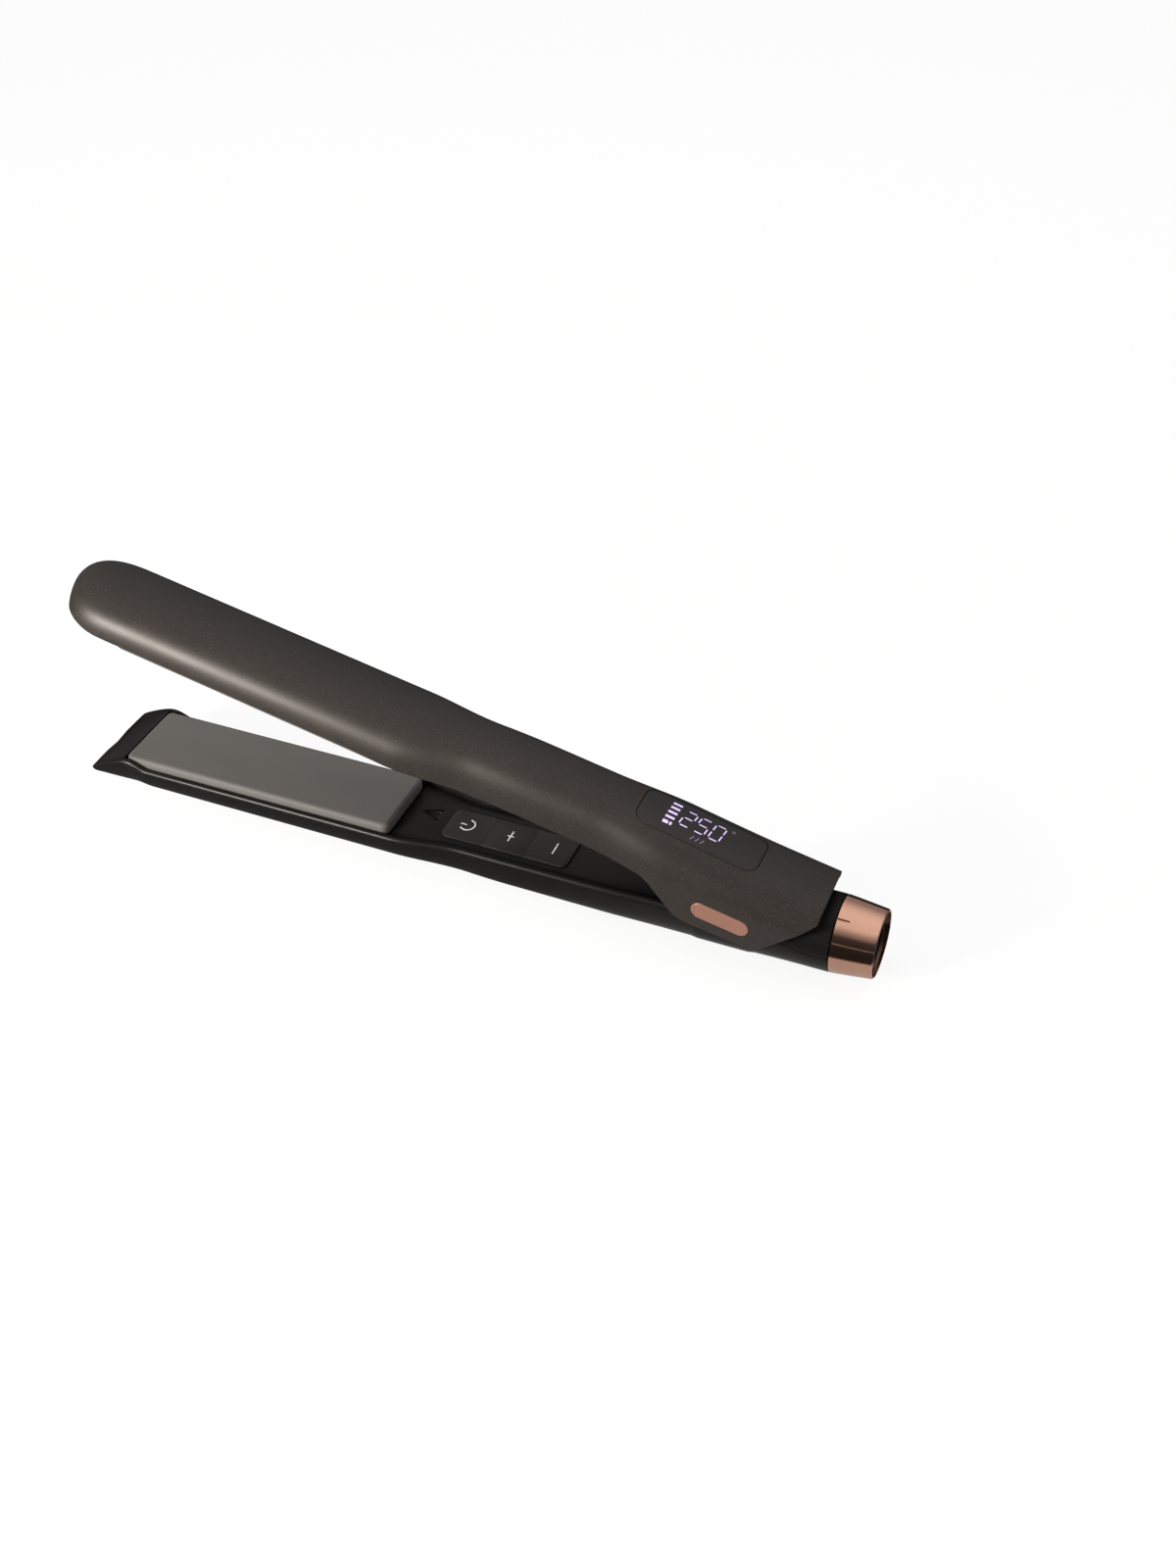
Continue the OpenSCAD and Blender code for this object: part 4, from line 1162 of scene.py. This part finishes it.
# --------------------------------------------------------------------------------------------
# The rest keeps its CAD shape, with eased edges: node, body, material, bevel
EASED_PARTS = [
    ("lower_frame", "lower_arm", "frame_black", 0.22),
    ("upper_frame", "upper_arm", "frame_black", 0.22),
    ("lower_heater", "lower_plate_set", "ceramic_heater", 0.15),
    ("upper_heater", "upper_plate_set", "ceramic_heater", 0.15),
    ("lower_carrier", "lower_plate_set", "carrier_plastic", 0.2),
    ("upper_carrier", "upper_plate_set", "carrier_plastic", 0.2),
    ("lower_thermistor", "lower_plate_set", "sensor_bead", 0.1),
    ("upper_thermistor", "upper_plate_set", "sensor_bead", 0.1),
    ("lower_fuse", "lower_plate_set", "spring_steel", 0.1),
    ("upper_fuse", "upper_plate_set", "spring_steel", 0.1),
    ("control_board", "lower_arm", "circuit_board", 0.1),
    ("display_board", "upper_arm", "circuit_board", 0.1),
    ("tact_switches", "lower_arm", "switch_grey", 0.12),
    ("board_parts", "lower_arm", "component_black", 0.2),
    ("hinge_bracket", "lower_arm", "bracket_steel", 0.15),
    ("hinge_pin", "lower_arm", "spring_steel", 0.2),
    ("lower_screws", "lower_arm", "screw_steel", 0.06),
    ("upper_screws", "upper_arm", "screw_steel", 0.06),
    ("display_module", "upper_arm", "display_white", 0.12),
    ("hinge_bushes", "upper_arm", "bush_bronze", 0.08),
]
for node, body, look, bevel in EASED_PARTS:
    finish_piece(eased(node, bevel), body, look, node)

# Soft pads under the plates: squash axis and anchor of each, in metres
PAD_SQUASH = {
    "lower": ((0, 0, 1), (0, 0, 0.012)),
    "upper": ((math.sin(OPEN), 0, math.cos(OPEN)),
              (0.008 * math.sin(OPEN), 0, 0.02 + 0.008 * math.cos(OPEN))),
}
for name, (axis, anchor) in PAD_SQUASH.items():
    pads = eased(name + "_pads", bevel=0.25, segments=3)
    finish_piece(pads, name + "_arm", "silicone_pad", name + "_pads")
    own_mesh(pads)

# --------------------------------------------------------------------------------------------
# Floor, lights, world and camera, in metres
FLOOR_Z = -0.00046
FLOOR_HALF = 3.0


def floor_material():
    """Pale floor that the camera sees nearly white and reflections see darker."""
    made = bpy.data.materials.new("pale_floor")
    made.use_nodes = True
    tree = made.node_tree
    diffuse = tree.nodes["Principled BSDF"]
    set_inputs(tree, diffuse, {"Base Color": (0.93, 0.93, 0.925, 1), "Roughness": 0.9,
                               "Specular IOR Level": 0.1})
    rays = add_node(tree, "LightPath")
    geometry = add_node(tree, "NewGeometry")
    # brighter in reflections that meet the floor steeply
    slope = add_node(tree, "SeparateXYZ", {"Vector": geometry.outputs["Incoming"]})
    grey = add_ramp(tree, slope.outputs["Z"], [(0.54, 0.02), (0.60, 0.5)])
    # the cord end mirrors a lighter table than the dark arms do
    place = add_node(tree, "SeparateXYZ", {"Vector": geometry.outputs["Position"]})
    strength = add_node(tree, "MapRange", {
        "Value": place.outputs["X"], "From Min": -0.07, "From Max": -0.02,
        "To Min": 0.3, "To Max": 1.0})
    mirrored = add_node(tree, "Emission", {
        "Color": grey, "Strength": strength.outputs["Result"]})
    lit = add_node(tree, "MixShader", {
        0: rays.outputs["Is Glossy Ray"], 1: diffuse.outputs[0], 2: mirrored.outputs[0]})
    white = add_node(tree, "Emission", {"Color": (1, 1, 1, 1), "Strength": 1.0})
    # share of plain white in what the camera sees
    share = add_node(tree, "Math", {0: rays.outputs["Is Camera Ray"], 1: 0.86},
                     operation="MULTIPLY")
    seen = add_node(tree, "MixShader", {
        0: share.outputs[0], 1: lit.outputs[0], 2: white.outputs[0]})
    set_inputs(tree, tree.nodes["Material Output"], {"Surface": seen.outputs[0]})
    return made


def build_floor():
    mesh = bpy.data.meshes.new("floor")
    h = FLOOR_HALF
    mesh.from_pydata([(x, y, FLOOR_Z) for x, y in rectangle(-h, -h, h, h)], [], [(0, 1, 2, 3)])
    ob = link_object("floor", mesh)
    mesh.materials.append(floor_material())


def area_light(name, location, target, size, size_y, power, color=(1, 1, 1)):
    light = bpy.data.lights.new(name, "AREA")
    light.shape = "RECTANGLE"
    light.size = size
    light.size_y = size_y
    light.energy = power
    light.color = color
    ob = bpy.data.objects.new(name, light)
    ob.location = location
    ob.rotation_mode = "QUATERNION"
    ob.rotation_quaternion = (Vector(target) - Vector(location)).to_track_quat("-Z", "Y")
    bpy.context.scene.collection.objects.link(ob)
    return ob


# What reflections see of the sky: (upward part of the direction, grey)
SKY_NEAR = [(0.0, 0.02), (0.15, 0.02), (0.17, 0.5), (0.20, 0.02), (0.55, 0.05), (0.78, 0.42),
            (0.9, 0.8), (1.0, 0.86)]
SKY_FAR = [(0.0, 0.28), (0.35, 0.3), (0.6, 0.54), (0.85, 0.84), (1.0, 0.94)]


def build_world():
    """Even white light; reflections see a darker room, brighter overhead and towards +Y."""
    world = bpy.data.worlds.new("studio")
    bpy.context.scene.world = world
    world.use_nodes = True
    tree = world.node_tree
    ambient = tree.nodes["Background"]
    set_inputs(tree, ambient, {"Color": (1, 1, 1, 1), "Strength": 0.78})
    coords = add_node(tree, "TexCoord")
    split = add_node(tree, "SeparateXYZ", {"Vector": coords.outputs["Generated"]})
    near = add_ramp(tree, split.outputs["Z"], SKY_NEAR)
    far = add_ramp(tree, split.outputs["Z"], SKY_FAR)
    side = add_node(tree, "MapRange", {
        "From Min": -0.15, "From Max": 0.25, "Value": split.outputs["Y"]})
    sky = add_node(tree, "Mix", {"Factor": side.outputs["Result"], "A": near, "B": far},
                   data_type="RGBA")
    mirrored = add_node(tree, "Background", {"Color": sky.outputs["Result"], "Strength": 1.0})
    backdrop = add_node(tree, "Background", {"Color": (1, 1, 1, 1), "Strength": 0.98})
    rays = add_node(tree, "LightPath")
    lit = add_node(tree, "MixShader", {
        0: rays.outputs["Is Glossy Ray"], 1: ambient.outputs[0], 2: mirrored.outputs[0]})
    seen = add_node(tree, "MixShader", {
        0: rays.outputs["Is Camera Ray"], 1: lit.outputs[0], 2: backdrop.outputs[0]})
    set_inputs(tree, tree.nodes["World Output"], {"Surface": seen.outputs[0]})


def build_camera(location, right, up, lens):
    """Camera whose right and up directions are given in the world."""
    camera = bpy.data.cameras.new("camera")
    camera.sensor_width = 36
    camera.lens = lens
    camera.clip_start, camera.clip_end = 0.01, 20
    ob = link_object("camera", camera)
    right, up = Vector(right), Vector(up)
    back = right.cross(up).normalized()
    right = up.cross(back).normalized()
    rows = [(*axes, place) for *axes, place in zip(right, up, back, location)]
    ob.matrix_world = Matrix(rows + [(0, 0, 0, 1)])
    bpy.context.scene.camera = ob


build_floor()
area_light("key", location=(-0.375, -0.41, 0.175), target=(-0.20, 0, 0.06), size=0.16,
           size_y=0.13, power=4.8, color=(1.0, 0.97, 0.94))
top_light = area_light("top", location=(0.0, 0.35, 1.3), target=(-0.1, 0, 0), size=1.2,
                       size_y=0.7, power=3.0)
top_light.visible_glossy = False
build_world()
build_camera(location=(0.130153, -0.429554, 0.429673), right=(0.92406, 0.3821, -0.0105),
             up=(-0.23432, 0.58795, 0.77421), lens=42.49)
view = bpy.context.scene.view_settings
view.view_transform = "Standard"
view.look = "None"
view.exposure = 0.0
